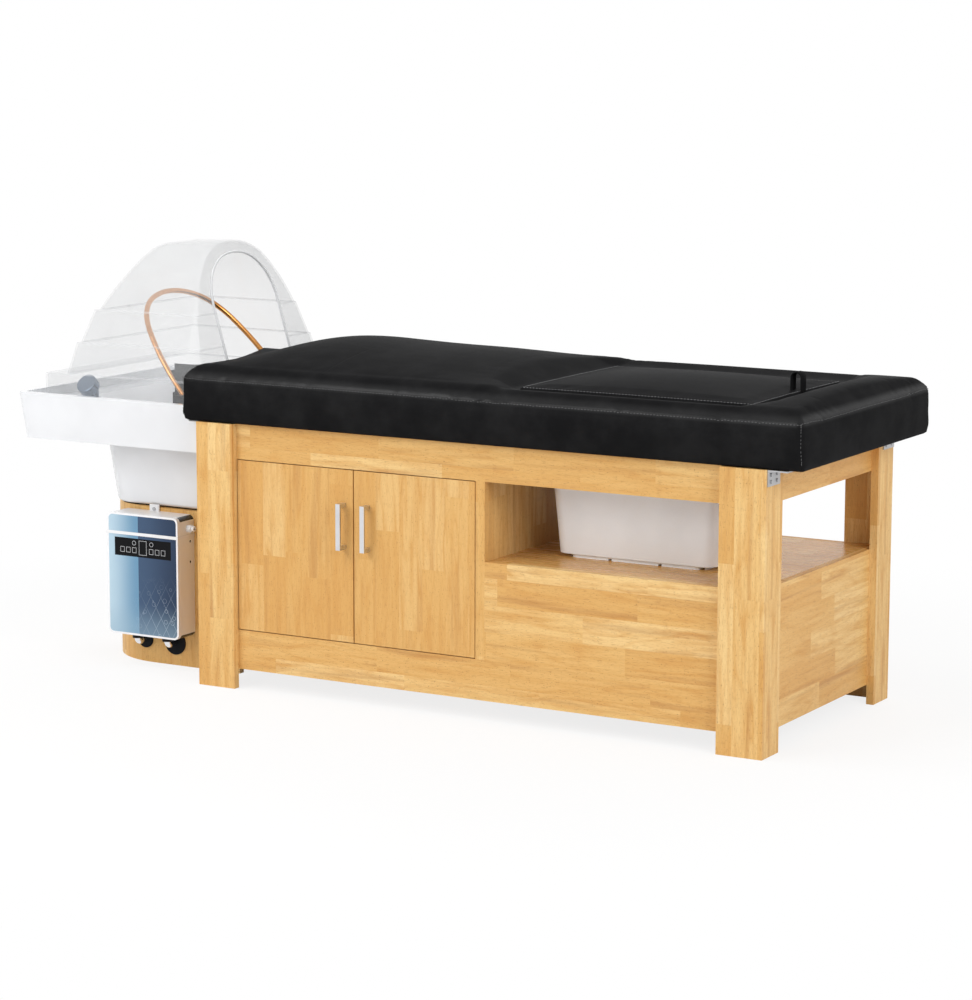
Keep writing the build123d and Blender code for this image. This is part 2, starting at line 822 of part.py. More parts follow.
def make_basin():
    inside = rounded_block(
        (tray_head + tray_rim, tray_bed_side + tray_corner),
        both(tray_half - tray_rim),
        (deck_z, tray_top + overrun),
        tray_corner - tray_rim / 2,
    )
    low_x = (low_edge_x, tray_bed_side + overrun)
    low_edge = block(low_x, both(tray_half + overrun), (low_edge_z, tray_top + overrun))
    under_z = (tray_bottom - overrun, low_edge_z - deck_thick)
    under = tray_ring(tray_wall) & block((tray_head, tray_bed_side), both(tray_half), under_z)
    tray = tray_ring(0) - inside - low_edge - under
    x = bowl_centre_x()
    hole = rod((x, 0, bowl_floor_z + overrun), (x, 0, bowl_floor_z - bowl_wall - overrun), waste_radius)
    basin = tray + bowl_shape(bowl_wall) - bowl_shape(0) - hole
    tail = rod((tap_x, tap_y, deck_z + overrun), (tap_x, tap_y, tray_bottom), tap_tail_radius)
    feet = [foot_spigot(side) for side in (-1, 1)]
    keep("basin", cut_all(basin, [tail] + feet))

    pan_x = (tray_head + tray_taper + tray_wall, tray_bed_side - tray_wall)
    pan_y = both(tray_half - tray_taper - tray_wall)
    pan_z = (tray_bottom, tray_bottom + underpan_thick)
    pan = rounded_block(pan_x, pan_y, pan_z, tray_corner - tray_wall / 2)
    way = rounded_block(
        (shell_top_head + shell_wall, shell_bed_side - shell_wall),
        both(shell_top_half - shell_wall),
        (tray_bottom - overrun, tray_bottom + underpan_thick + overrun),
        shell_corner - shell_wall,
    )
    keep("basin_underpan", pan - way)

    low = (shell_bottom_head, shell_bed_side), both(shell_bottom_half)
    high = (shell_top_head, shell_bed_side), both(shell_top_half)
    shell = taper(low, shell_bottom, high, tray_bottom, shell_corner, shell_corner)
    shell = fillet(shell.faces().sort_by(Axis.Z)[0].edges(), shell_round)
    bed_side_in = shell_bed_side - shell_wall
    low_in = (shell_bottom_head + shell_wall, bed_side_in), both(shell_bottom_half - shell_wall)
    high_in = (shell_top_head + shell_wall, bed_side_in), both(shell_top_half - shell_wall)
    corner_in = shell_corner - shell_wall
    hollow = taper(low_in, shell_bottom + shell_wall, high_in, tray_bottom, corner_in, corner_in)
    floor_hole = rounded_block(
        (shell_bottom_head + shell_lip, shell_bed_side - shell_lip),
        both(shell_bottom_half - shell_lip),
        (shell_bottom - overrun, shell_bottom + shell_wall + overrun),
        shell_corner - shell_lip / 2,
    )
    keep("bowl_shell", shell - hollow - floor_hole)


def make_waste():
    """Basin waste: a strainer flange, a nut under the bowl, a tee and a tail to the floor."""
    x = bowl_centre_x()
    top = bowl_floor_z + waste_flange_thick
    flange = rod((x, 0, bowl_floor_z), (x, 0, top), waste_flange_radius)
    step_z = waste_end + waste_spigot_length
    tail = rod((x, 0, bowl_floor_z), (x, 0, step_z), waste_radius)
    spigot = rod((x, 0, step_z), (x, 0, waste_end), waste_spigot_radius)
    branch_end = (x, -waste_branch_reach, waste_branch_z)
    branch = rod((x, 0, waste_branch_z), branch_end, hose_radius)
    inner = waste_spigot_radius - waste_wall
    bore = rod((x, 0, bowl_floor_z), (x, 0, waste_end - overrun), inner)
    side_bore = rod((x, 0, waste_branch_z), (x, -waste_branch_reach - overrun, waste_branch_z), elbow_bore)
    body = flange + tail + spigot + branch - bore - side_bore
    for turn in range(waste_slots):
        angle = 2 * math.pi * turn / waste_slots
        slot_x = x + waste_slot_ring * math.cos(angle)
        slot_y = waste_slot_ring * math.sin(angle)
        slot_end = (slot_x, slot_y, bowl_floor_z - overrun)
        body = body - rod((slot_x, slot_y, top + overrun), slot_end, waste_slot_radius)
    keep("basin_waste", body)


def stand_plan(inset):
    """Outline of the stand: round corners at the head end, square where it meets the bed."""
    x = (stand_head + inset, head_x)
    y = both(stand_half - inset)
    corner = stand_corner - inset
    return x, y, corner


def stand_solid(inset, z):
    x, y, corner = stand_plan(inset)
    rounded = rounded_block((x[0], x[1] + stand_corner), y, z, corner)
    return rounded & block((x[0], x[1]), y, z)


def make_stand():
    outer = stand_solid(0, (0, stand_top))
    inner = stand_solid(stand_wall, (-overrun, stand_top + overrun))
    outside = -stand_half - overrun
    inside = -stand_half + stand_wall + overrun
    holes = []
    for x in (elbow_left_x, elbow_right_x):
        holes.append(rod((x, outside, elbow_z), (x, inside, elbow_z), grommet_hole_radius))
    keep("stand_shell", cut_all(outer - inner, holes + [tab_screw()]))
    ring = stand_solid(stand_wall, (stand_top - stand_ring_thick, stand_top))
    opening = rounded_block(
        (stand_head + stand_ring_head_width, head_x - stand_ring_width),
        both(stand_half - stand_ring_width),
        (stand_top - stand_ring_thick - overrun, stand_top + overrun),
        shell_corner - shell_round,
    )
    keep("stand_ring", ring - opening)
    seal_x = (shell_bottom_head + shell_round, shell_bed_side - shell_round)
    low = seal_x, both(shell_bottom_half - shell_round)
    seal = rounded_block(*low, (stand_top, shell_bottom), shell_corner - shell_round)
    inner_x = (low[0][0] + seal_width, low[0][1] - seal_width)
    inner_y_range = both(low[1][1] - seal_width)
    inner_corner = shell_corner - shell_round - seal_width
    hole = rounded_block(inner_x, inner_y_range, (0, shell_bottom + overrun), inner_corner)
    keep("stand_seal", seal - hole)


def heater_profile(inset):
    width = heater_right - heater_left - 2 * inset
    height = heater_top - heater_bottom - 2 * inset
    middle = Pos((heater_left + heater_right) / 2, -stand_half, (heater_top + heater_bottom) / 2)
    upright_plane = Plane(origin=(0, 0, 0), x_dir=(1, 0, 0), z_dir=(0, -1, 0))
    return middle * (upright_plane * RectangleRounded(width, height, heater_corner - inset))


def tab_screw():
    x = (tab_left + tab_right) / 2
    z = heater_top + tab_height - tab_hole_drop
    y = -stand_half - tab_thick
    shank = rod((x, y, z), (x, y + tab_screw_length, z), tab_hole_radius)
    return shank + rod((x, y, z), (x, y - screw_head_thick, z), screw_head_radius)


def forward(profile, start, end):
    """Extrude a face from one depth to another, measured forward from the stand."""
    return extrude(Pos(0, -start, 0) * profile, end - start)


def side_hole(y, z, radius):
    """Hole through the right side of the heater's case."""
    return rod((heater_right + overrun, y, z), (heater_right - overrun, y, z), radius)


def make_heater():
    """Case in two halves with a band round it and a display let into the front."""
    back = forward(heater_profile(0), 0, heater_back_depth)
    back = back - forward(heater_profile(heater_wall), heater_wall, heater_back_depth + overrun)
    tab_z = (heater_top - heater_wall, heater_top + tab_height)
    tab = block((tab_left, tab_right), (-stand_half - tab_thick, -stand_half), tab_z)
    cover = forward(heater_profile(0), heater_back_depth, heater_depth)
    inner = heater_profile(heater_wall)
    cover = cover - forward(inner, heater_back_depth - overrun, heater_depth - heater_wall)
    front = -stand_half - heater_depth
    display_x = (display_left, display_right)
    display_z = (display_bottom, display_top)
    window = block(display_x, (front - overrun, front + display_thick), display_z)
    band_z = (band_bottom, band_bottom + band_height)
    band_x = (heater_left - band_proud, heater_right + band_proud)
    band = block(band_x, (front - band_proud, -stand_half), band_z)
    cuts = [side_hole(gland_y, gland_z, gland_tip_radius), tab_screw()]
    for x in (elbow_left_x, elbow_right_x):
        cuts.append(rod((x, elbow_y, internal_base), (x, elbow_y, elbow_z), elbow_radius))
    for z in (side_hole_upper_z, side_hole_lower_z):
        cuts.append(side_hole(side_hole_y, z, side_hole_radius))
    keep("heater_back", cut_all(back + tab, cuts))
    keep("heater_cover", cut_all(cover - window, cuts))
    keep("heater_band", band - forward(heater_profile(0), -overrun, heater_depth))
    keep("heater_display", block(display_x, (front, front + display_thick), display_z))


def make_gland():
    """Nylon gland on the heater's right side: a six-sided nut, a round tip and a bore."""
    nut_end = heater_right + gland_nut_length
    tip_end = nut_end + gland_tip_length
    inner_end = heater_right - heater_wall
    plane = Plane(origin=(heater_right, gland_y, gland_z), x_dir=(0, 1, 0), z_dir=(1, 0, 0))
    nut = extrude(plane * RegularPolygon(gland_nut_radius, gland_sides), gland_nut_length)
    neck = rod((inner_end, gland_y, gland_z), (tip_end, gland_y, gland_z), gland_tip_radius)
    bore_start = (inner_end - overrun, gland_y, gland_z)
    bore_end = (tip_end + overrun, gland_y, gland_z)
    keep("heater_gland", nut + neck - rod(bore_start, bore_end, gland_bore_radius))


def make_heater_inside():
    """Tank, circulation pump and circuit board."""
    middle_y = -stand_half - heater_depth / 2
    tank_top = (tank_x, middle_y, internal_base + tank_height)
    keep("heater_tank", rod((tank_x, middle_y, internal_base), tank_top, tank_radius))
    motor_z = internal_base + pump_base_height
    casing = rod((pump_x, middle_y, internal_base), (pump_x, middle_y, motor_z), pump_base_radius)
    motor = rod((pump_x, middle_y, motor_z), (pump_x, middle_y, motor_z + pump_height), pump_radius)
    keep("heater_pump", casing + motor)
    circuit_x = (heater_left + circuit_inset, heater_right - circuit_inset)
    circuit_y = -stand_half - heater_wall
    circuit_z = (circuit_bottom, circuit_top)
    keep("heater_circuit", block(circuit_x, (circuit_y - circuit_thick, circuit_y), circuit_z))


def elbow(x):
    """Pipe from the heater's underside that turns back into the stand."""
    top = (x, elbow_y, internal_base)
    corner = (x, elbow_y, elbow_z)
    end = (x, -stand_half + stand_wall + elbow_tail_inside, elbow_z)
    return hose([top, corner, end], elbow_radius, elbow_bore, elbow_bend)


def make_elbows():
    """Elbows, their nuts, and the grommets, whose lips are trimmed where they meet the heater."""
    elbows = []
    nuts = []
    grommets = []
    for x, lip_radius in ((elbow_left_x, grommet_left_radius), (elbow_right_x, grommet_right_radius)):
        elbows.append(elbow(x))
        nut_start = (x, elbow_y, heater_bottom - nut_height)
        nuts.append(pipe(nut_start, (x, elbow_y, heater_bottom), nut_radius, elbow_radius))
        face = -stand_half
        inside = face + stand_wall
        body = rod((x, face, elbow_z), (x, inside, elbow_z), grommet_hole_radius)
        lip = rod((x, face - grommet_lip_thick, elbow_z), (x, face, elbow_z), lip_radius)
        lip = lip - forward(heater_profile(-gap), -overrun, heater_depth)
        hole = rod((x, face - overrun, elbow_z), (x, inside + overrun, elbow_z), elbow_radius)
        grommets.append(body + lip - hole)
    keep("elbows", Compound(elbows))
    keep("elbow_nuts", Compound(nuts))
    keep("elbow_grommets", Compound(grommets))


def hoop_half():
    """Half of the hoop in its own plane, from the top to one end: three tangent arcs."""
    crown = JernArc((0, hoop_rise), (1, 0), hoop_crown_radius, -hoop_crown_angle)
    corner = JernArc(crown @ 1, crown % 1, hoop_corner_radius, -hoop_corner_angle)
    side = JernArc(corner @ 1, corner % 1, hoop_leg_radius, -hoop_leg_angle)
    return Wire([crown.edge(), corner.edge(), side.edge()])


def hoop_foot():
    """Pivot point of the hoop: x, half spacing in y, and z."""
    end = hoop_half() @ 1
    length = math.hypot(1, hoop_lean_ratio)
    return hoop_plane_x - hoop_lean_ratio / length * end.Y, end.X, hoop_plane_z + end.Y / length


def foot_spigot(side):
    """Threaded tail of a hoop foot, through the basin deck."""
    x, y, z = hoop_foot()
    middle = side * (y + collar_half + gap + foot_depth / 2)
    return rod((x, middle, deck_z), (x, middle, deck_z - foot_spigot_length), foot_spigot_radius)


def make_hoop():
    x, y, z = hoop_foot()
    length = math.hypot(1, hoop_lean_ratio)
    across = (1 / length, 0, hoop_lean_ratio / length)
    plane = Plane(origin=(hoop_plane_x, 0, hoop_plane_z), x_dir=(0, 1, 0), z_dir=across)
    half = plane * hoop_half()
    section = Plane(origin=half @ 0, z_dir=half % 0) * (Circle(hoop_tube_radius) - Circle(hoop_bore_radius))
    arm = sweep(section, path=half)
    collars = []
    for side in (-1, 1):
        inner = (x, side * (y - collar_half), z)
        outer = (x, side * (y + collar_half), z)
        pin_end = (x, side * (y + collar_half + pin_length), z)
        collars.append(rod(inner, outer, collar_radius) + rod(outer, pin_end, pin_radius))
    tube = arm + opposite(arm)
    keep("hoop_tube", cut_all(tube, collars))
    keep("hoop_collars", Compound(collars))
    feet = []
    for side in (-1, 1):
        near = side * (y + collar_half + gap)
        y_range = sorted((near, near + side * foot_depth))
        base = block((x - foot_width / 2, x + foot_width / 2), y_range, (deck_z, deck_z + foot_height))
        bore_end = (x, side * (y + collar_half + pin_length + gap), z)
        bore = rod((x, near - side * overrun, z), bore_end, pin_radius + running_gap)
        feet.append(base - bore + foot_spigot(side))
    keep("hoop_feet", Compound(feet))


def make_neck_rest():
    """Rubber rest between the bowl and the mattress, dipped where the neck lies."""
    body = block((neck_head, neck_bed), both(neck_half), (deck_z, neck_top))
    lip = block((neck_head - neck_lip, neck_bed), both(neck_half), (neck_lip_bottom, neck_lip_top))
    foot = block((neck_head - neck_foot_lip, neck_bed), both(neck_half), (deck_z, deck_z + neck_foot_height))
    rest = body + lip + foot
    dip = make_face(
        ThreePointArc((-neck_half, neck_top), (0, neck_top - neck_dip), (neck_half, neck_top))
        + Line((neck_half, neck_top), (-neck_half, neck_top))
    )
    trough = extrude(Plane.YZ * dip, -neck_head + neck_lip + overrun, both=True)
    keep("neck_rest", rest - trough)


def make_tap():
    """Mixer on the deck with a leaning spindle and a fluted knob."""
    tilt = math.radians(tap_tilt)
    axis = Vector(0, -math.sin(tilt), math.cos(tilt))
    foot = Vector(tap_x, tap_y, deck_z)
    pivot = foot + Vector(0, 0, tap_base_height + tap_neck_radius)
    neck_end = pivot + axis * tap_neck_length / 2
    base = rod(foot, foot + Vector(0, 0, tap_base_height), tap_base_radius)
    column = rod(foot, pivot, tap_neck_radius)
    neck = rod(pivot, neck_end, tap_neck_radius)
    ball = Pos(*pivot) * Sphere(tap_neck_radius)
    spindle_end = neck_end + axis * tap_spindle_length
    tail = rod(foot, foot - Vector(0, 0, tap_tail_length), tap_tail_radius)
    keep("tap_body", base + column + neck + ball + rod(neck_end, spindle_end, tap_spindle_radius) + tail)
    start = neck_end + axis * knob_offset
    plane = Plane(origin=start, x_dir=(1, 0, 0), z_dir=axis)
    knob = extrude(plane * Circle(knob_radius), knob_depth)
    knob = fillet(knob.edges(), knob_cap)
    for turn in range(knob_flutes):
        spot = PolarLocations(knob_radius + knob_flute_radius / 2, knob_flutes).locations[turn]
        knob = knob - extrude(plane * spot * Circle(knob_flute_radius), knob_depth - knob_cap)
    bore = extrude(plane * Circle(tap_spindle_radius + running_gap), tap_spindle_length - knob_offset + gap)
    keep("tap_knob", knob - bore)


def make_hoses():
    """Feed from the heater's right elbow up to the front hoop foot, and return from the basin waste."""
    x, y, z = hoop_foot()
    foot_y = -(y + collar_half + gap + foot_depth / 2)
    tail_y = -stand_half + stand_wall + elbow_tail_inside
    feed = [
        (elbow_right_x, tail_y, elbow_z),
        (elbow_right_x, feed_rise_y, elbow_z),
        (feed_turn_x, feed_rise_y, feed_turn_z),
        (x, foot_y, feed_turn_z),
        (x, foot_y, deck_z - foot_spigot_length),
    ]
    waste_x = bowl_centre_x()
    back = [
        (waste_x, -waste_branch_reach, waste_branch_z),
        (waste_x, return_turn_y, waste_branch_z),
        (elbow_left_x, return_turn_y, elbow_z),
        (elbow_left_x, tail_y, elbow_z),
    ]
    routes = (feed, back)
    keep("heater_hoses", Compound([hose(route, hose_radius, elbow_bore, hose_bend) for route in routes]))


def hood_side(bottom):
    """Side view of the hood down to the given height."""
    edges = [
        Line((hood_bed_side, bottom), (hood_skirt_head, bottom)),
        Line((hood_skirt_head, bottom), (hood_skirt_head, hood_skirt_top)),
        Line((hood_skirt_head, hood_skirt_top), (hood_tier1_head, hood_skirt_top)),
        Line((hood_tier1_head, hood_skirt_top), (hood_step1_head, hood_step1_z)),
        Line((hood_step1_head, hood_step1_z), (hood_tier2_head, hood_step1_z)),
        Line((hood_tier2_head, hood_step1_z), (hood_step2_head, hood_step2_z)),
        Line((hood_step2_head, hood_step2_z), (hood_tier3_head, hood_step2_z)),
        Line((hood_tier3_head, hood_step2_z), (hood_back_x, hood_back_z)),
        ThreePointArc((hood_back_x, hood_back_z), (hood_knee_x, hood_knee_z), (hood_roof_x, hood_roof_z)),
        Line((hood_roof_x, hood_roof_z), (hood_top_front, hood_top)),
        Line((hood_top_front, hood_top), (hood_bed_side, hood_lean_z)),
        Line((hood_bed_side, hood_lean_z), (hood_bed_side, bottom)),
    ]
    return make_face(Curve() + edges)


def hood_front(bottom):
    """Front view of the hood down to the given height."""
    haunch = (hood_haunch_half, hood_haunch_z)
    right = [
        Line((hood_skirt_half, bottom), (hood_skirt_half, hood_skirt_top)),
        Line((hood_skirt_half, hood_skirt_top), (hood_tier1_half, hood_skirt_top)),
        Line((hood_tier1_half, hood_skirt_top), (hood_step1_half, hood_step1_z)),
        Line((hood_step1_half, hood_step1_z), (hood_tier2_half, hood_step1_z)),
        Line((hood_tier2_half, hood_step1_z), (hood_step2_half, hood_step2_z)),
        Line((hood_step2_half, hood_step2_z), (hood_tier3_half, hood_step2_z)),
        ThreePointArc((hood_tier3_half, hood_step2_z), (hood_shoulder_half, hood_shoulder_z), haunch),
        ThreePointArc(haunch, (hood_brow_half, hood_brow_z), (0, hood_top)),
    ]
    left = [mirror(edge, about=Plane.YZ) for edge in right]
    floor = Line((-hood_skirt_half, bottom), (hood_skirt_half, bottom))
    return make_face(Curve() + right + left + floor)


def hood_bulk(inset, bottom):
    """Where the side view and the front view of the hood agree."""
    side = hood_side(bottom)
    front = hood_front(bottom)
    if inset:
        side = offset(side, amount=-inset, kind=Kind.INTERSECTION)
        front = offset(front, amount=-inset, kind=Kind.INTERSECTION)
    wide = extrude(Plane.XZ * side, hood_skirt_half + overrun, both=True)
    deep = extrude(Plane.YZ * front, -hood_skirt_head + overrun, both=True)
    return wide & deep


def make_hood():
    """Clear hood, open below and through an arch on the bed side."""
    shell = hood_bulk(0, deck_z) - hood_bulk(hood_wall, deck_z - overrun - hood_wall)
    half = [
        Line((arch_half, deck_z - overrun), (arch_half, arch_spring)),
        ThreePointArc((arch_half, arch_spring), (arch_haunch_half, arch_haunch_z), (0, arch_top)),
    ]
    other = [mirror(edge, about=Plane.YZ) for edge in half]
    floor = Line((-arch_half, deck_z - overrun), (arch_half, deck_z - overrun))
    arch = make_face(Curve() + half + other + floor)
    way_in = extrude(Plane.YZ * arch, -arch_depth + hood_bed_side)
    keep("steam_hood", shell - way_in)


make_frame()
all_screws = make_legs_and_brackets()
make_doors()
make_mattress(all_screws)
make_hatch()
make_tub()
make_basin()
make_waste()
make_stand()
make_heater()
make_gland()
make_heater_inside()
make_elbows()
make_hoop()
make_neck_rest()
make_tap()
make_hoses()
make_hood()

for name, solid in nodes.items():
    export_step(solid, f"parts/{name}.step")
print(len(nodes), "parts, origin", round(origin_x, 1), "mm from the head legs")
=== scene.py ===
# %% Load the bed's frame
import math

import bpy
import numpy as np
from mathutils import Matrix, Vector


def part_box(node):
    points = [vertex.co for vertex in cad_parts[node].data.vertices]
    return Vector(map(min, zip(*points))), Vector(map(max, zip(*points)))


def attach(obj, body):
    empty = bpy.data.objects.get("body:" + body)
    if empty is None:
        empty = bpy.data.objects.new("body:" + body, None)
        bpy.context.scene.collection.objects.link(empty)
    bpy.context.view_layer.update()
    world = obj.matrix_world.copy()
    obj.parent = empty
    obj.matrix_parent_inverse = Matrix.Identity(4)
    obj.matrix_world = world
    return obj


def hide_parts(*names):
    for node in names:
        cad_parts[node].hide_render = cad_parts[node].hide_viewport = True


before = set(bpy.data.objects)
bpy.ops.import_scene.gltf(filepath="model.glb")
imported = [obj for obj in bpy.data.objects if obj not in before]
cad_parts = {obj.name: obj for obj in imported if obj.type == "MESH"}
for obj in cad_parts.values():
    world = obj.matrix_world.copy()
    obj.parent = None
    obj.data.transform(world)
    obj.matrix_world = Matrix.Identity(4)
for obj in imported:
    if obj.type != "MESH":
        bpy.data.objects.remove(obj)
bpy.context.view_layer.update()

# %% [markdown]
# # Dressing a hair washing bed
# The rigid parts of the bed arrive as finished solids. What is left to do here is what makes them look
# real: wood, leather, acrylic and metal, and the soft pieces, which are made again as stuffed forms.
# Everything is in metres. X runs from the basin to the foot, Y to the back and Z up.

# %% Small helpers for working as by hand
MM = 0.001
HEAD_LEGS_X = -471.5 * MM


def bed_x(millimetres):
    """A place along the bed, measured from the outer face of its head legs."""
    return HEAD_LEGS_X + millimetres * MM


def deselect():
    if bpy.context.mode != "OBJECT":
        bpy.ops.object.mode_set(mode="OBJECT")
    bpy.ops.object.select_all(action="DESELECT")


def pick(piece):
    """Make one piece the only selected and active one."""
    deselect()
    piece.select_set(True)
    bpy.context.view_layer.objects.active = piece
    return piece


def settle(piece, name):
    """Move the piece's place into its mesh, so that its object sits at the origin."""
    pick(piece)
    bpy.ops.object.transform_apply(location=True, rotation=True, scale=True)
    piece.name = name
    return piece


def modify(piece, kind, **values):
    """Add a modifier and apply it."""
    pick(piece)
    modifier = piece.modifiers.new(kind.title(), kind)
    for key, value in values.items():
        setattr(modifier, key, value)
    bpy.ops.object.modifier_apply(modifier=modifier.name)
    return piece


def smooth(piece, degrees=35):
    pick(piece)
    bpy.ops.object.shade_smooth_by_angle(angle=math.radians(degrees))
    return piece


def merged_copy(node, name):
    """A copy of a solid with its loose triangles merged, ready to be reshaped."""
    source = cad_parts[node]
    piece = bpy.data.objects.new(name, source.data.copy())
    bpy.context.scene.collection.objects.link(piece)
    pick(piece)
    bpy.ops.object.mode_set(mode="EDIT")
    bpy.ops.mesh.select_all(action="SELECT")
    bpy.ops.mesh.remove_doubles(threshold=0.00002)
    bpy.ops.object.mode_set(mode="OBJECT")
    return piece


deselect()
print("helpers ready")

# %% [markdown]
# ## The camera
# The picture was taken from the foot and front side with a long lens, from a little above the mattress.
# A long lens keeps the far legs almost as tall as the near ones, so distance matters as much as angle.

# %% Camera
VIEW_TURN = math.radians(29.92)
VIEW_DROP = math.radians(9.32)
VIEW_ROLL = math.radians(0.13)
VIEW_DISTANCE = 6.84941
VIEW_TARGET = Vector((bed_x(547.98), 0.0, 0.41535))
LENS = 111.716

flat_forward = Vector((-math.sin(VIEW_TURN), math.cos(VIEW_TURN), 0.0))
forward = flat_forward * math.cos(VIEW_DROP) - Vector((0.0, 0.0, math.sin(VIEW_DROP)))
level = Vector((math.cos(VIEW_TURN), math.sin(VIEW_TURN), 0.0))
above = level.cross(forward)
right = level * math.cos(VIEW_ROLL) + above * math.sin(VIEW_ROLL)
up = -level * math.sin(VIEW_ROLL) + above * math.cos(VIEW_ROLL)
camera_data = bpy.data.cameras.new("camera")
camera_data.lens = LENS
camera_data.sensor_width = 36.0
camera_data.clip_end = 60.0
camera = bpy.data.objects.new("camera", camera_data)
bpy.context.scene.collection.objects.link(camera)
turned = Matrix((right, up, -forward)).transposed().to_4x4()
camera.matrix_world = Matrix.Translation(VIEW_TARGET - forward * VIEW_DISTANCE) @ turned
bpy.context.scene.camera = camera
print("camera at", [round(v, 3) for v in camera.matrix_world.translation])

# %% [markdown]
# ## Writing shaders as sums
# A shader is a graph of small nodes. Long graphs are hard to read, so one class wraps a socket and lets
# Python's own plus, minus and times add the Math nodes. Every other node comes from one method.

# %% A paint pot with sockets that can be added and multiplied
class Flow:
    """One value travelling through a material's nodes."""

    def __init__(self, pot, socket):
        self.pot = pot
        self.socket = socket

    def math(self, operation, *others):
        return self.pot.node("ShaderNodeMath", (self,) + others, operation=operation)

    def after(self, operation, other):
        """The same, with the other value first."""
        return self.pot.node("ShaderNodeMath", (other, self), operation=operation)

    def __add__(self, other): return self.math("ADD", other)
    def __radd__(self, other): return self.after("ADD", other)
    def __sub__(self, other): return self.math("SUBTRACT", other)
    def __rsub__(self, other): return self.after("SUBTRACT", other)
    def __mul__(self, other): return self.math("MULTIPLY", other)
    def __rmul__(self, other): return self.after("MULTIPLY", other)
    def __truediv__(self, other): return self.math("DIVIDE", other)
    def __rtruediv__(self, other): return self.after("DIVIDE", other)
    def __abs__(self): return self.math("ABSOLUTE")

    def floor(self): return self.math("FLOOR")
    def above(self, level): return self.math("GREATER_THAN", level)
    def below(self, level): return self.math("LESS_THAN", level)
    def most(self, other): return self.math("MAXIMUM", other)
    def least(self, other): return self.math("MINIMUM", other)

    def between(self, low, high):
        """0 at low, 1 at high, smooth on the way."""
        values = {"Value": self, "From Min": low, "From Max": high}
        return self.pot.node("ShaderNodeMapRange", values, interpolation_type="SMOOTHSTEP")


class Pot:
    """A material and the nodes in it."""

    def __init__(self, name, **constants):
        self.material = bpy.data.materials.new(name)
        self.material.use_nodes = True
        self.tree = self.material.node_tree
        self.shader = self.tree.nodes["Principled BSDF"]
        for key, value in constants.items():
            self.shader.inputs[key.replace("_", " ")].default_value = value

    def node(self, kind, values=(), out=0, **settings):
        made = self.tree.nodes.new(kind)
        for key, value in settings.items():
            setattr(made, key, value)
        pairs = values.items() if isinstance(values, dict) else enumerate(values)
        for key, value in pairs:
            if isinstance(value, Flow):
                self.tree.links.new(value.socket, made.inputs[key])
            else:
                made.inputs[key].default_value = value
        return Flow(self, made.outputs[out])

    def vector(self):
        """The object coordinates as one vector."""
        return self.node("ShaderNodeTexCoord", out="Object")

    def place(self):
        """The object coordinates as three values."""
        coordinate = self.vector()
        return [self.node("ShaderNodeSeparateXYZ", (coordinate,), out=i) for i in range(3)]

    def point(self, x, y, z=0.0):
        return self.node("ShaderNodeCombineXYZ", (x, y, z))

    def noise(self, point, scale, detail=3.0, rough=0.5):
        values = {"Vector": point, "Scale": scale, "Detail": detail, "Roughness": rough}
        return self.node("ShaderNodeTexNoise", values)

    def mix(self, share, first, second):
        """The first colour where share is 0 and the second where it is 1."""
        first, second = [c if isinstance(c, Flow) else (*c, 1.0) for c in (first, second)]
        return self.node("ShaderNodeMix", {0: share, 6: first, 7: second}, out=2, data_type="RGBA")

    def feed(self, socket, flow):
        self.tree.links.new(flow.socket, self.shader.inputs[socket])

    def bump(self, height, strength, distance):
        values = {"Height": height, "Strength": strength, "Distance": distance}
        self.feed("Normal", self.node("ShaderNodeBump", values))


print("shader helper ready")

# %% [markdown]
# ## Rubberwood
# The frame is made of boards glued up from short rubberwood staves, so neighbouring blocks differ in tone.
# Each stave gets a row number across the grain and a block number along it. A white noise of the two
# numbers gives the tone. Noises stretched along the grain give the growth rings, the streaks and the pores.

# %% Rubberwood
STAVE_WIDTH = 0.058
STAVE_LENGTH = 0.33
HONEY = (0.77, 0.500, 0.190)
AMBER = (0.63, 0.325, 0.090)
PALE = (0.84, 0.610, 0.290)
STREAK = (0.40, 0.170, 0.050)
PORE = (0.24, 0.100, 0.035)


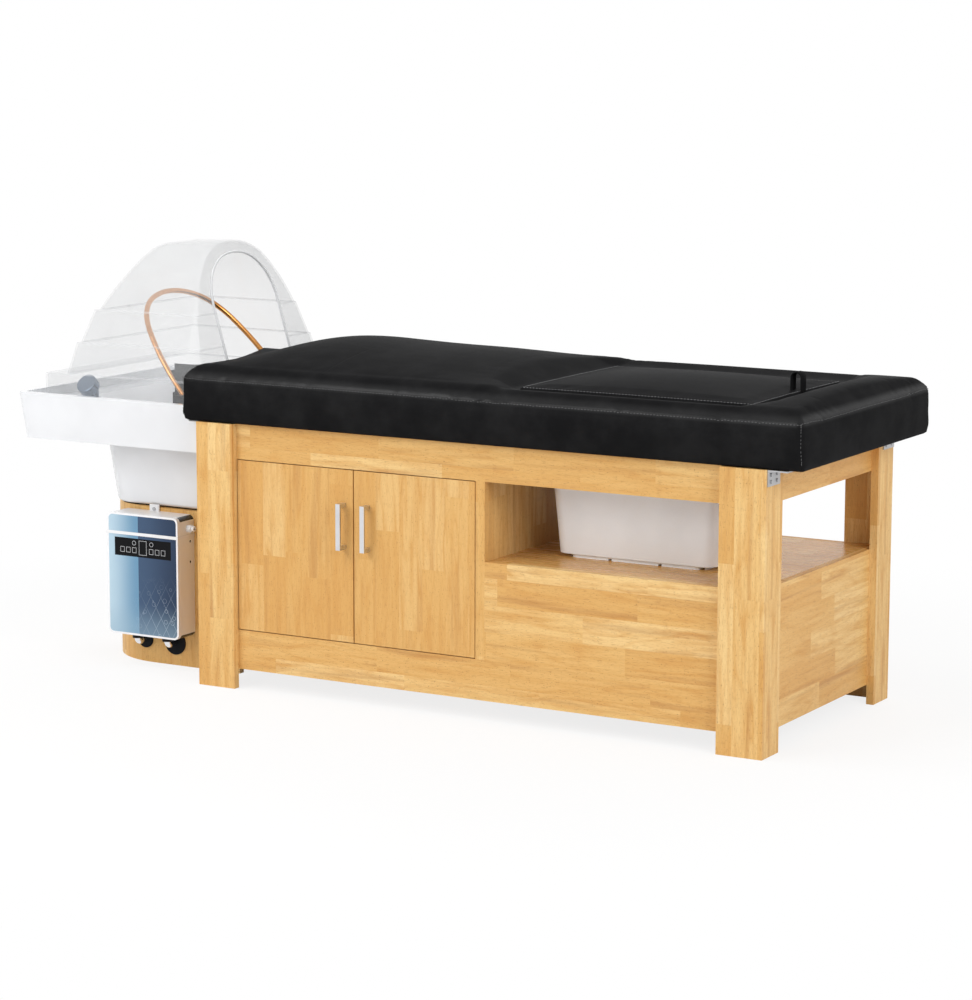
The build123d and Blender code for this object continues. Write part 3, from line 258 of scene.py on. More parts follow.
def rubberwood(name, along, warmth=0.0, gloss=0.38):
    pot = Pot(name, Specular_IOR_Level=0.25)
    x, y, z = pot.place()
    if along == "x":
        run, across = x, y + z
    elif along == "y":
        run, across = y, x + z
    else:
        run, across = z, x + abs(y)
    row = (across / STAVE_WIDTH).floor()
    shift = pot.node("ShaderNodeTexWhiteNoise", {"W": row}, noise_dimensions="1D")
    block = (run / STAVE_LENGTH + shift * 7.0).floor()
    tone = pot.node("ShaderNodeTexWhiteNoise", {"Vector": pot.point(row, block)}, noise_dimensions="2D")
    apart = tone * 31.0
    rings = pot.noise(pot.point(run * 2.4 + apart, across * 15.0 + apart), 1.0, 2.0, 0.5)
    rings = (rings * 13.0).math("PINGPONG", 1.0).between(0.55, 1.0)
    figure = pot.noise(pot.point(run * 6.0 + apart, across * 70.0 + apart), 1.0, 4.0, 0.6)
    streaks = pot.noise(pot.point(run * 1.8 + apart, across * 34.0), 1.0, 3.0, 0.6)
    pores = pot.noise(pot.point(run * 60.0, across * 900.0), 1.0, 2.0, 0.5)
    specks = pot.noise(pot.point(run * 260.0, across * 420.0), 1.0, 1.0, 0.5)
    ground = pot.mix(tone.between(0.15, 1.0) * 0.55, HONEY, AMBER)
    ground = pot.mix(tone.between(0.55, 0.0) * 0.6, ground, PALE)
    figured = pot.mix(figure.between(0.38, 0.68) * 0.55 + rings * 0.30, ground, AMBER)
    figured = pot.mix(streaks.between(0.52, 0.72) * 0.45, figured, STREAK)
    marked = pot.mix(pores.between(0.54, 0.70) * 0.50, figured, STREAK)
    marked = pot.mix(specks.between(0.66, 0.74) * 0.6, marked, PORE)
    if warmth:
        marked = pot.mix(warmth, marked, AMBER)
    pot.feed("Base Color", marked)
    pot.feed("Roughness", figure * 0.14 + gloss)
    pot.bump(pores.between(0.60, 0.76) * -1.0 + figure * 0.3, 0.25, 0.0004)
    return pot.material


wood_along_x = rubberwood("rubberwood_long", "x")
wood_along_y = rubberwood("rubberwood_short", "y")
wood_upright = rubberwood("rubberwood_upright", "z")
wood_doors = rubberwood("rubberwood_doors", "z", 0.30)
wood_shelf = rubberwood("rubberwood_shelf", "x", 0.35, 0.2)
plywood = rubberwood("plywood", "x", 0.2, 0.5)
print("six woods")

# %% [markdown]
# ## Leather
# The cover is black coated leather with a fine pebble. Small cells make the pebble, and a slower noise
# makes the sheen uneven. The seams are thin lines pressed in by bump, so that they stay sharp. A coat gives
# the gloss: it is faint all over and stronger in a band along the top seam, where the cover is drawn tight.

# %% Leather
SEAM_HEIGHT = 0.689
SEAM_GROOVE = 0.0022
SEAM_BAND_RISE, SEAM_BAND = 0.002, 0.014
CROSS_SEAM_X = bed_x(320)
CROSS_SEAM_LEAN = 0.03
CROSS_SEAM_RISE, CROSS_SEAM_GROOVE = 0.008, 0.0018
PEBBLE_SCALE = 620.0
LEATHER_DARK = (0.009, 0.009, 0.0095)
LEATHER_PALE = (0.016, 0.016, 0.0165)
LEATHER_COAT = 0.012
SEAM_COAT = 0.34


def leather(name, seam_z=None, cross_x=None):
    pot = Pot(name, Specular_IOR_Level=0.003, Coat_Weight=LEATHER_COAT, Coat_Roughness=0.22)
    coordinate = pot.vector()
    x, y, z = pot.place()
    cells = pot.node("ShaderNodeTexVoronoi", {"Vector": coordinate, "Scale": PEBBLE_SCALE})
    slow = pot.noise(coordinate, 14.0, 4.0, 0.6)
    pot.feed("Roughness", slow * 0.16 + 0.36)
    pot.feed("Base Color", pot.mix(slow.between(0.3, 0.8), LEATHER_DARK, LEATHER_PALE))
    height = cells * 0.22 + slow * 0.5
    if seam_z:
        height = height + abs(z - seam_z).between(0.0, SEAM_GROOVE) * 1.4
        band = abs(z - seam_z - SEAM_BAND_RISE).between(SEAM_BAND, 0.0)
        pot.feed("Coat Weight", band * SEAM_COAT + LEATHER_COAT)
    if cross_x:
        on_top = z.above(seam_z + CROSS_SEAM_RISE)
        groove = abs(x - cross_x - y * CROSS_SEAM_LEAN).between(0.0, CROSS_SEAM_GROOVE) - 1.0
        height = height + groove * on_top * 1.2
    pot.bump(height, 0.5, 0.0009)
    return pot.material


mattress_leather = leather("mattress_leather", SEAM_HEIGHT, CROSS_SEAM_X)
plain_leather = leather("hatch_leather")
print("leather ready")

# %% [markdown]
# ## Acrylic, moulded plastic and rubber
# The tray is glossy acrylic, the tub and the heater's case are smooth plastic. None of them is perfectly
# flat, so a slow noise lifts the surface a little and moves the reflections.

# %% Plastics
CASE_WHITE = (0.84, 0.84, 0.85)


def moulded(name, colour, rough, ripple=0.0004, coat=0.0, shine=0.5):
    pot = Pot(name, Coat_Weight=coat, Coat_Roughness=0.08, Specular_IOR_Level=shine)
    coordinate = pot.vector()
    slow = pot.noise(coordinate, 9.0, 2.0, 0.5)
    fine = pot.noise(coordinate, 900.0, 2.0, 0.6)
    deep = tuple(c * 0.94 for c in colour)
    pot.feed("Base Color", pot.mix(slow.between(0.3, 0.7), colour, deep))
    pot.feed("Roughness", fine * 0.06 + rough)
    pot.bump(slow + fine * 0.04, 0.4, ripple)
    return pot.material


white_acrylic = moulded("white_acrylic", (0.79, 0.80, 0.82), 0.12, 0.0006, 0.3)
white_tub = moulded("white_tub", (0.90, 0.93, 0.97), 0.25)
white_case = moulded("white_case", CASE_WHITE, 0.2)
black_plastic = moulded("black_plastic", (0.012, 0.012, 0.013), 0.42, shine=0.10)
black_rubber = moulded("black_rubber", (0.012, 0.013, 0.015), 0.6, shine=0.06)
black_panel = moulded("black_panel", (0.004, 0.004, 0.005), 0.10, 0.0001, shine=0.12)
grey_hose = moulded("grey_hose", (0.3, 0.3, 0.31), 0.4)
waste_plastic = moulded("waste_plastic", (0.7, 0.7, 0.71), 0.4)
circuit_board = moulded("circuit_board", (0.03, 0.18, 0.07), 0.35)
print("nine plastics")

# %% [markdown]
# ## Metals
# Polished chrome, rose gold and brushed steel differ in tint and in how their fine scratches run.

# %% Metals
def metal(name, colour, rough, brushed=0.0):
    pot = Pot(name, Metallic=1.0)
    x, y, z = pot.place()
    scratches = pot.noise(pot.point(x * 900.0, y * 900.0, z * (30.0 if brushed else 900.0)), 1.0, 3.0, 0.6)
    coordinate = pot.vector()
    patches = pot.noise(coordinate, 22.0, 3.0, 0.6)
    dull = tuple(c * 0.86 for c in colour)
    pot.feed("Base Color", pot.mix(patches.between(0.35, 0.75), colour, dull))
    pot.feed("Roughness", scratches * (0.04 + brushed * 0.16) + rough)
    pot.bump(scratches, 0.12 + brushed * 0.3, 0.00008)
    return pot.material


chrome = metal("chrome", (0.86, 0.86, 0.88), 0.10)
smoked_chrome = metal("smoked_chrome", (0.20, 0.25, 0.32), 0.20)
rose_gold = metal("rose_gold", (0.66, 0.30, 0.09), 0.18)
brushed_steel = metal("brushed_steel", (0.72, 0.72, 0.73), 0.22, 1.0)
zinc_steel = metal("zinc_steel", (0.48, 0.48, 0.49), 0.34, 0.5)
print("five metals")

# %% [markdown]
# ## The clear hood
# The hood is thin clear acrylic with a milky cast. Its steps gather light and look white, so the surface is
# denser there, and also where it is seen at a low angle, as clear sheet is. The skirt is the clearest.

# %% Clear acrylic
HOOD_STEP_HEIGHTS = (0.660, 0.732, 0.806)
STEP_LINE = 0.0022


def clear_acrylic(name):
    pot = Pot(name, Base_Color=(0.74, 0.75, 0.76, 1.0), Specular_IOR_Level=0.5)
    z = pot.place()[2]
    coordinate = pot.vector()
    haze = pot.noise(coordinate, 7.0, 2.0, 0.5)
    edge = abs(z - HOOD_STEP_HEIGHTS[0]).below(STEP_LINE)
    for height in HOOD_STEP_HEIGHTS[1:]:
        edge = edge.most(abs(z - height).below(STEP_LINE))
    skirt = z.below(HOOD_STEP_HEIGHTS[0])
    grazing = pot.node("ShaderNodeLayerWeight", {"Blend": 0.35}, out="Facing")
    density = haze * 0.06 + 0.10 - skirt * 0.03 + edge * 0.14 + grazing * 0.16
    pot.feed("Alpha", density.least(0.95))
    pot.feed("Roughness", haze * 0.08 + 0.08)
    return pot.material


hood_acrylic = clear_acrylic("clear_acrylic")
print("hood material ready")

# %% [markdown]
# ## The heater's printed front
# The front is a printed film with round corners, pale blue on the left and slate blue on the right of one
# sharp line. Its picture is a generic one of this lesson's own: faint round bubbles and a sparse grid.

# %% Printed front
HEATER_LEFT, HEATER_RIGHT = bed_x(-301), bed_x(-105)
HEATER_LOW, HEATER_HIGH = 0.074, 0.354
HEATER_MIDDLE_X, HEATER_HALF_X = (HEATER_RIGHT + HEATER_LEFT) / 2, (HEATER_RIGHT - HEATER_LEFT) / 2
HEATER_MIDDLE_Z, HEATER_HALF_Z = (HEATER_HIGH + HEATER_LOW) / 2, (HEATER_HIGH - HEATER_LOW) / 2
HEATER_FRONT_Y = -0.254
CASE_INNER_Y = -0.1905
CASE_SKIN = 0.0006
# Painted shade: the near black colour of the case's unlit inner faces, where a hole shows them.
CASE_INSIDE_SHADE = (0.03, 0.03, 0.03)
COVER_WHITE = (0.85, 0.85, 0.87)
FILM_INSET = 0.0045
FILM_CORNER = 0.010
FILM_DIVIDE = 0.44
FILM_PALE = (0.47, 0.62, 0.72), (0.15, 0.30, 0.45)
FILM_DARK = (0.055, 0.095, 0.17), (0.028, 0.048, 0.095)
FILM_FOOT = (0.30, 0.44, 0.55)
BUBBLE_WHITE = (0.75, 0.86, 0.95)
GRID_WHITE = (0.7, 0.82, 0.93)


def printed_front(name):
    pot = Pot(name, Coat_Weight=0.05, Coat_Roughness=0.05, Specular_IOR_Level=0.15)
    x, y, z = pot.place()
    across = (x - HEATER_LEFT) / (HEATER_RIGHT - HEATER_LEFT)
    rise = (z - HEATER_LOW) / (HEATER_HIGH - HEATER_LOW)
    pale_side = pot.mix(across.between(0.0, FILM_DIVIDE), *FILM_PALE)
    dark_side = pot.mix(across.between(FILM_DIVIDE, 1.0), *FILM_DARK)
    film = pot.mix(across.above(FILM_DIVIDE), pale_side, dark_side)
    film = pot.mix(rise.between(0.30, 0.0) * 0.45, film, FILM_FOOT)
    bubbles = pot.node("ShaderNodeTexVoronoi", {"Vector": pot.point(x, z), "Scale": 46.0})
    ring = abs(bubbles - 0.24).between(0.035, 0.0)
    diagonal_one = abs((x * 36.0 + z * 20.8).math("PINGPONG", 0.5)).between(0.03, 0.0)
    diagonal_two = abs((x * 36.0 - z * 20.8).math("PINGPONG", 0.5)).between(0.03, 0.0)
    region = rise.between(0.55, 0.1) * across.between(0.25, 0.8)
    film = pot.mix(ring * region * 0.35, film, BUBBLE_WHITE)
    film = pot.mix(diagonal_one.most(diagonal_two) * region * 0.4, film, GRID_WHITE)
    half_x = HEATER_HALF_X - FILM_INSET - FILM_CORNER
    half_z = HEATER_HALF_Z - FILM_INSET - FILM_CORNER
    out_x = (abs(x - HEATER_MIDDLE_X) - half_x).most(0.0)
    out_z = (abs(z - HEATER_MIDDLE_Z) - half_z).most(0.0)
    rounded = (out_x * out_x + out_z * out_z).below(FILM_CORNER * FILM_CORNER)
    inside = rounded * y.below(HEATER_FRONT_Y + CASE_SKIN)
    pot.feed("Base Color", pot.mix(inside, COVER_WHITE, film))
    coordinate = pot.vector()
    pot.feed("Roughness", pot.noise(coordinate, 60.0) * 0.08 + 0.16)
    return pot.material


def hollow_case(name):
    """White outside. Its inner faces carry painted shade: no light gets in, so they are painted dark where a
    hole shows them.
    """
    pot = Pot(name)
    x, y, z = pot.place()
    within_x = (abs(x - HEATER_MIDDLE_X) - HEATER_HALF_X).below(-CASE_SKIN)
    within_z = (abs(z - HEATER_MIDDLE_Z) - HEATER_HALF_Z).below(-CASE_SKIN)
    within = within_x * within_z * y.below(CASE_INNER_Y)
    pot.feed("Base Color", pot.mix(within, CASE_WHITE, CASE_INSIDE_SHADE))
    coordinate = pot.vector()
    pot.feed("Roughness", pot.noise(coordinate, 300.0) * 0.08 + 0.18)
    return pot.material


heater_print = printed_front("heater_print")
case_shell = hollow_case("case_shell")
print("printed front and case ready")

# %% [markdown]
# ## Giving each solid its finish
# Wood is chosen by the direction in which each board's grain runs. Everything else follows its own finish.

# %% Finishes of the solids
FINISHES = {
    wood_along_x: ("front_top_rail", "rear_top_rail", "front_bottom_rail", "cupboard_back",
                   "front_lower_panel", "rear_lower_panel", "cupboard_floor"),
    wood_along_y: ("foot_top_rail", "foot_lower_panel", "head_panel"),
    wood_upright: ("leg_head_front", "leg_head_rear", "leg_foot_front", "leg_foot_rear", "cupboard_side",
                   "cupboard_divider", "stand_shell"),
    wood_doors: ("door_left", "door_right"),
    wood_shelf: ("bay_shelf",),
    plywood: ("bearers", "mattress_board", "hatch_board", "stand_ring"),
    white_acrylic: ("basin", "bowl_shell", "basin_underpan"),
    white_tub: ("foot_tub",),
    white_case: ("heater_band", "heater_gland"),
    case_shell: ("heater_back",),
    heater_print: ("heater_cover",),
    black_panel: ("heater_display",),
    hood_acrylic: ("steam_hood",),
    rose_gold: ("hoop_tube",),
    black_plastic: ("hoop_collars", "hoop_feet", "elbow_nuts", "heater_pump"),
    black_rubber: ("neck_rest", "stand_seal", "elbow_grommets"),
    grey_hose: ("heater_hoses",),
    chrome: ("elbows",),
    smoked_chrome: ("tap_body", "tap_knob"),
    brushed_steel: ("handle_left", "handle_right", "heater_tank", "basin_waste"),
    waste_plastic: ("tub_waste",),
    zinc_steel: ("foot_brackets", "fixing_screws", "hinge_arms", "hinge_cups_left", "hinge_cups_right"),
    circuit_board: ("heater_circuit",),
    plain_leather: ("mattress_pad", "hatch_pad", "hatch_loop"),
}


def finish_with(piece, material):
    piece.data.materials.clear()
    piece.data.materials.append(material)


finished = set()
for material, names in FINISHES.items():
    for name in names:
        finish_with(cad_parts[name], material)
        finished.add(name)
print("finished", len(finished), "left over", sorted(set(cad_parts) - finished))

# %% [markdown]
# ## The mattress
# A real mattress is foam in a sewn cover, which swells between its seams and pulls in along them. The form
# is remeshed evenly and blown up a little as cloth. How far it may move is capped, and less near its
# bottom and its hatch opening, so that it stays in the space that the bed leaves for it.

# %% A stuffed form
CLOTH_PRESSURE = 4.0
CLOTH_FRAMES = 20


def stuffed(node, name, voxel, cap, freedom):
    """A swollen copy of a solid. freedom tells how freely each point may move, from 0 to 1."""
    piece = merged_copy(node, name)
    modify(piece, "REMESH", mode="VOXEL", voxel_size=voxel)
    count = len(piece.data.vertices)
    rest = np.zeros(count * 3)
    piece.data.vertices.foreach_get("co", rest)
    rest = rest.reshape(-1, 3)
    pick(piece)
    cloth = piece.modifiers.new("Cloth", "CLOTH")
    cloth.settings.use_pressure = True
    cloth.settings.uniform_pressure_force = CLOTH_PRESSURE
    cloth.settings.effector_weights.gravity = 0.0
    for number in range(1, CLOTH_FRAMES + 1):
        bpy.context.scene.frame_set(number)
    bpy.ops.object.modifier_apply(modifier=cloth.name)
    bpy.context.scene.frame_set(1)
    moved = np.zeros(count * 3)
    piece.data.vertices.foreach_get("co", moved)
    step = moved.reshape(-1, 3) - rest
    length = np.linalg.norm(step, axis=1, keepdims=True)
    allowed = cap * freedom(rest)[:, None]
    step = step * np.minimum(1.0, allowed / np.maximum(length, 1e-9))
    piece.data.vertices.foreach_set("co", (rest + step).ravel())
    piece.data.update()
    print(name, "largest move", round(float(np.linalg.norm(step, axis=1).max()) * 1000, 2), "mm")
    return piece


print("stuffing ready")

# %% [markdown]
# ## The border round the hatch
# The real cover is drawn in round the hatch opening. So the stuffed border is sloped down to it,
# gently at the sides and more steeply at the two ends, with an eased start.

# %% Mattress
HATCH_START, HATCH_END, HATCH_HALF = bed_x(752), bed_x(1302), 0.225
EASE_LENGTH = 0.03
PAD_STILL_BELOW = 0.605
PAD_STILL_ROUND_HATCH = 0.004


def mattress_freedom(points):
    """Free on the crown and the sides, still at the bottom and round the hatch opening."""
    low = np.clip((points[:, 2] - PAD_STILL_BELOW) / EASE_LENGTH, 0.0, 1.0)
    out_x = np.maximum(HATCH_START - points[:, 0], points[:, 0] - HATCH_END)
    out_y = np.abs(points[:, 1]) - HATCH_HALF
    away = np.clip((np.maximum(out_x, out_y) - PAD_STILL_ROUND_HATCH) / EASE_LENGTH, 0.0, 1.0)
    return low * away


BORDER_EDGE = 0.698
SIDE_SLOPE = 0.175
END_SLOPE = 0.40
BORDER_EASE = 0.0015
BORDER_REACH = 0.01


def slope_border(piece):
    """Slope the border down to the hatch opening, so that the hatch's sewn edge shows over it."""
    points = np.zeros(len(piece.data.vertices) * 3)
    piece.data.vertices.foreach_get("co", points)
    points = points.reshape(-1, 3)
    beyond_x = np.maximum(np.maximum(HATCH_START - points[:, 0], points[:, 0] - HATCH_END), 0.0)
    beyond_y = np.maximum(np.abs(points[:, 1]) - HATCH_HALF, 0.0)
    over = points[:, 2] - (BORDER_EDGE + beyond_x * END_SLOPE + beyond_y * SIDE_SLOPE)
    eased = (over + np.sqrt(over * over + 4.0 * BORDER_EASE * BORDER_EASE)) / 2
    drop = np.where(over > -BORDER_REACH, eased, 0.0)
    points[:, 2] -= drop
    piece.data.vertices.foreach_set("co", points.ravel())
    piece.data.update()
    print("border lowered by at most", round(float(drop.max()) * 1000, 1), "mm")


mattress = stuffed("mattress_pad", "mattress_cover", voxel=0.0062, cap=0.004, freedom=mattress_freedom)
slope_border(mattress)
smooth(mattress, 60)
finish_with(mattress, mattress_leather)
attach(mattress, "bed")
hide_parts("mattress_pad")
print("mattress faces", len(mattress.data.polygons))

# %% [markdown]
# ## The hatch
# The hatch is a thinner cushion on its own board. It keeps still round its edge, where it would otherwise
# rub on the opening, and swells in the middle. Its top is then raised a little, because the real cushion
# stands almost level with the mattress.

# %% Hatch cushion
HATCH_STILL_BELOW = 0.64
HATCH_STILL_EDGE = 0.008
HATCH_EDGE_EASE = 0.04
HATCH_LIFT = 0.004
LIFT_START, LIFT_LENGTH = 0.670, 0.025


def hatch_freedom(points):
    """Free in the middle of the top, still low down and near the edge."""
    in_x = np.minimum(points[:, 0] - HATCH_START, HATCH_END - points[:, 0])
    in_y = HATCH_HALF - np.abs(points[:, 1])
    low = np.clip((points[:, 2] - HATCH_STILL_BELOW) / EASE_LENGTH, 0.0, 1.0)
    return low * np.clip((np.minimum(in_x, in_y) - HATCH_STILL_EDGE) / HATCH_EDGE_EASE, 0.0, 1.0)


def plump(piece):
    """Raise the top of the cushion, so that it stands as full as stuffed leather does."""
    for corner in piece.data.vertices:
        corner.co.z += HATCH_LIFT * min(1.0, max(0.0, (corner.co.z - LIFT_START) / LIFT_LENGTH))


hatch = stuffed("hatch_pad", "hatch_cover", voxel=0.006, cap=0.003, freedom=hatch_freedom)
plump(hatch)
modify(hatch, "SUBSURF", levels=1, render_levels=1)
smooth(hatch, 60)
finish_with(hatch, plain_leather)
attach(hatch, "hatch")
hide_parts("hatch_pad")
print("hatch faces", len(hatch.data.polygons))

# %% [markdown]
# ## The pull loop
# A strap of the same leather stands up at the hatch's foot end. It starts as an open tube lying across the
# bed. Its upper half is raised to make the loop tall, and it is then given the strap's thickness.

# %% Pull loop
loop_low, loop_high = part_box("hatch_loop")
loop_middle = (loop_low + loop_high) / 2
loop_size = loop_high - loop_low
LOOP_STRAP = 0.003
LOOP_MARGIN = 0.0002
loop_radius = loop_size.x / 2 - LOOP_STRAP / 2
deselect()
bpy.ops.mesh.primitive_cylinder_add(vertices=40, radius=loop_radius, depth=loop_size.y,
                                    end_fill_type="NOTHING",
                                    location=(loop_middle.x, loop_middle.y, loop_low.z + loop_size.x / 2),
                                    rotation=(math.pi / 2, 0.0, 0.0))
pull_loop = settle(bpy.context.object, "hatch_pull_loop")
for corner in pull_loop.data.vertices:
    if corner.co.z > loop_low.z + loop_size.x / 2 + LOOP_MARGIN:
        corner.co.z += loop_size.z - loop_size.x
modify(pull_loop, "SOLIDIFY", thickness=LOOP_STRAP, offset=0.0)
modify(pull_loop, "BEVEL", width=0.0008, segments=2, limit_method="ANGLE")
smooth(pull_loop)
finish_with(pull_loop, plain_leather)
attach(pull_loop, "hatch")
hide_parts("hatch_loop")
print("loop", [round(v * 1000, 1) for v in pull_loop.dimensions])

# %% [markdown]
# ## Stitches
# A line of stitches runs just above the top seam all round the mattress. One stitch is modelled, and each
# copy is laid on the nearest point of the cover and turned along the seam. The four corners and the hatch's
# edge are sewn in the same way.

# %% Stitches
STITCH_PITCH = 0.0075
STITCH_LENGTH = 0.0050
STITCH_THICK = 0.0015
STITCH_HEIGHT = SEAM_HEIGHT + 0.003
COVER_REACH = 0.01
CORNER_LOW = 0.600
HATCH_STITCH_HEIGHT = 0.712
HATCH_END_INSET, HATCH_SIDE_INSET = 0.008, 0.007

deselect()
bpy.ops.mesh.primitive_uv_sphere_add(segments=6, ring_count=4, radius=0.5)
stitch = bpy.context.object
stitch_size = (STITCH_LENGTH, STITCH_THICK, STITCH_THICK)
stitch_points = np.array([v.co[:] for v in stitch.data.vertices]) * stitch_size
stitch_faces = [tuple(p.vertices) for p in stitch.data.polygons]
bpy.data.objects.remove(stitch)


def seam_places(half_x, half_y, middle_x, height):
    """Points and directions along a rectangle, evenly spaced."""
    corners = [(-half_x, -half_y), (half_x, -half_y), (half_x, half_y), (-half_x, half_y)]
    for first, last in zip(corners, corners[1:] + corners[:1]):
        start, end = Vector((*first, 0.0)), Vector((*last, 0.0))
        run = end - start
        for number in range(int(run.length / STITCH_PITCH)):
            spot = start + run.normalized() * STITCH_PITCH * (number + 0.5)
            yield Vector((middle_x + spot.x, spot.y, height)), run.normalized()


def corner_places(half_x, half_y, middle_x, low, high):
    """Points up the four corners, where the side pieces of the cover are sewn together."""
    for sign_x in (-1, 1):
        for sign_y in (-1, 1):
            for number in range(int((high - low) / STITCH_PITCH)):
                spot = (middle_x + sign_x * half_x, sign_y * half_y, low + STITCH_PITCH * (number + 0.5))
                yield Vector(spot), Vector((0.0, 0.0, 1.0))


def lay_stitches(cover, places, name):
    points, faces = [], []
    for spot, along in places:
        near, normal = cover.closest_point_on_mesh(spot)[1:3]
        side = normal.cross(along).normalized()
        turn = np.array((along, side, normal)).T
        base = len(points)
        points.extend((stitch_points @ turn.T + np.array(near)).tolist())
        faces.extend(tuple(base + i for i in face) for face in stitch_faces)
    mesh = bpy.data.meshes.new(name)
    mesh.from_pydata(points, [], faces)
    piece = bpy.data.objects.new(name, mesh)
    bpy.context.scene.collection.objects.link(piece)
    return smooth(piece, 80)


thread = moulded("black_thread", (0.07, 0.07, 0.072), 0.5)
pad_low, pad_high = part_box("mattress_pad")
pad_half = (pad_high - pad_low) / 2 + Vector((COVER_REACH, COVER_REACH, 0.0))
pad_middle_x = (pad_high.x + pad_low.x) / 2
places = list(seam_places(pad_half.x, pad_half.y, pad_middle_x, STITCH_HEIGHT))
places += corner_places(pad_half.x, pad_half.y, pad_middle_x, CORNER_LOW, STITCH_HEIGHT)
stitches = lay_stitches(mattress, places, "mattress_stitches")

hatch_middle_x = (HATCH_START + HATCH_END) / 2
hatch_half_x = (HATCH_END - HATCH_START) / 2 - HATCH_END_INSET
hatch_half_y = HATCH_HALF - HATCH_SIDE_INSET
hatch_seam = seam_places(hatch_half_x, hatch_half_y, hatch_middle_x, HATCH_STITCH_HEIGHT)
hatch_stitches = lay_stitches(hatch, hatch_seam, "hatch_stitches")
# The hatch's stitches are real thread. Their pale grey is a painted highlight for the bright line along the
# hatch's rolled front edge.
thread_with_painted_highlight = moulded("thread_with_painted_highlight", (0.22, 0.22, 0.225), 0.45)
for piece, body, colour in ((stitches, "bed", thread), (hatch_stitches, "hatch", thread_with_painted_highlight)):
    finish_with(piece, colour)
    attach(piece, body)
    print(piece.name, "faces", len(piece.data.polygons))

# %% [markdown]
# ## The neck rest
# The rest is moulded in soft rubber, so it has no sharp edges anywhere. The top of a copy of the solid is
# pulled down towards its two ends, which hardly rise above the mattress, and a bevel rounds it.

# %% Neck rest
NECK_HALF, NECK_TOP_EDGE = 0.180, 0.6785
NECK_END_DROP = 0.010
NECK_ROUND = 0.004
neck_rest = merged_copy("neck_rest", "neck_rest_rubber")
for corner in neck_rest.data.vertices:
    if corner.co.z > NECK_TOP_EDGE:
        corner.co.z -= NECK_END_DROP * (corner.co.y / NECK_HALF) ** 2
modify(neck_rest, "BEVEL", width=NECK_ROUND, segments=3, limit_method="ANGLE", angle_limit=math.radians(30))
smooth(neck_rest, 40)
finish_with(neck_rest, black_rubber)
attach(neck_rest, "bed")
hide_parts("neck_rest")
print("neck rest faces", len(neck_rest.data.polygons))

# %% [markdown]
# ## Keys on the display
# The touch panel shows two round and six square marks round an empty window. They are thin frames that
# stand a hair proud of the glass: a flat shape is added, inset, and all but its border is deleted.

# %% Display keys
KEY_MARK = 0.0009
KEY_PROUD, KEY_THICK = 0.00015, 0.0001
ROUND_KEY_X, ROUND_KEY_RISE, ROUND_KEY_SIZE = 0.024, 0.0105, (0.0105, 0.0105)
SQUARE_KEY_X, SQUARE_KEY_STEP = 0.0235, 0.0165
SQUARE_KEY_DROP, SQUARE_KEY_SIZE = 0.006, (0.0115, 0.0125)
WINDOW_RISE, WINDOW_SIZE = 0.0005, (0.021, 0.033)
display_low, display_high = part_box("heater_display")
display_middle = (display_low + display_high) / 2
KEY_Y = display_low.y - KEY_PROUD


def key_frame(x, z, width, height, corners):
    """Border of a flat shape facing forward."""
    deselect()
    bpy.ops.mesh.primitive_circle_add(vertices=corners, radius=0.5, fill_type="NGON", location=(x, KEY_Y, z),
                                      rotation=(math.pi / 2, math.pi / corners, 0.0))
    key = bpy.context.object
    stretch = 1.0 if corners > 4 else math.sqrt(2.0)
    settle(key, "key")
    for corner in key.data.vertices:
        corner.co.x = x + (corner.co.x - x) * width * stretch
        corner.co.z = z + (corner.co.z - z) * height * stretch
    bpy.ops.object.mode_set(mode="EDIT")
    bpy.ops.mesh.select_all(action="SELECT")
    bpy.ops.mesh.inset(thickness=KEY_MARK)
    bpy.ops.mesh.delete(type="FACE")
    bpy.ops.object.mode_set(mode="OBJECT")
    modify(key, "SOLIDIFY", thickness=KEY_THICK, offset=0.0)
    return key


keys = []
for sign in (-1, 1):
    key_x = display_middle.x + sign * ROUND_KEY_X
    keys.append(key_frame(key_x, display_middle.z + ROUND_KEY_RISE, *ROUND_KEY_SIZE, 24))
    for number in range(3):
        key_x = display_middle.x + sign * (SQUARE_KEY_X + number * SQUARE_KEY_STEP)
        keys.append(key_frame(key_x, display_middle.z - SQUARE_KEY_DROP, *SQUARE_KEY_SIZE, 4))
keys.append(key_frame(display_middle.x, display_middle.z + WINDOW_RISE, *WINDOW_SIZE, 4))
deselect()
for key in keys:
    key.select_set(True)
bpy.context.view_layer.objects.active = keys[0]
bpy.ops.object.join()
display_keys = settle(bpy.context.object, "display_keys")
finish_with(display_keys, moulded("key_print", (0.55, 0.56, 0.58), 0.35))
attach(display_keys, "bed")
print("keys", len(keys), "faces", len(display_keys.data.polygons))

# %% [markdown]
# ## The rim of the hood's arch
# The cut edge of clear acrylic carries light and shows as a bright line. A thin bead follows the arch on the
# hood's leaning front, made as a round line and then turned into a mesh.

# %% Arch bead
ARCH_HALF = 0.128
ARCH_FOOT, ARCH_SPRING, ARCH_TOP = 0.604, 0.815, 0.935
ARCH_STEPS, ARCH_FULLNESS = 24, 0.92
LEAN_START, HOOD_LEAN = 0.700, 78.0 / 261.0
BEAD_RADIUS = 0.0028


def hood_front_x(height):
    """The hood's front stands upright below and leans back above."""
    return bed_x(-50) - max(0.0, height - LEAN_START) * HOOD_LEAN


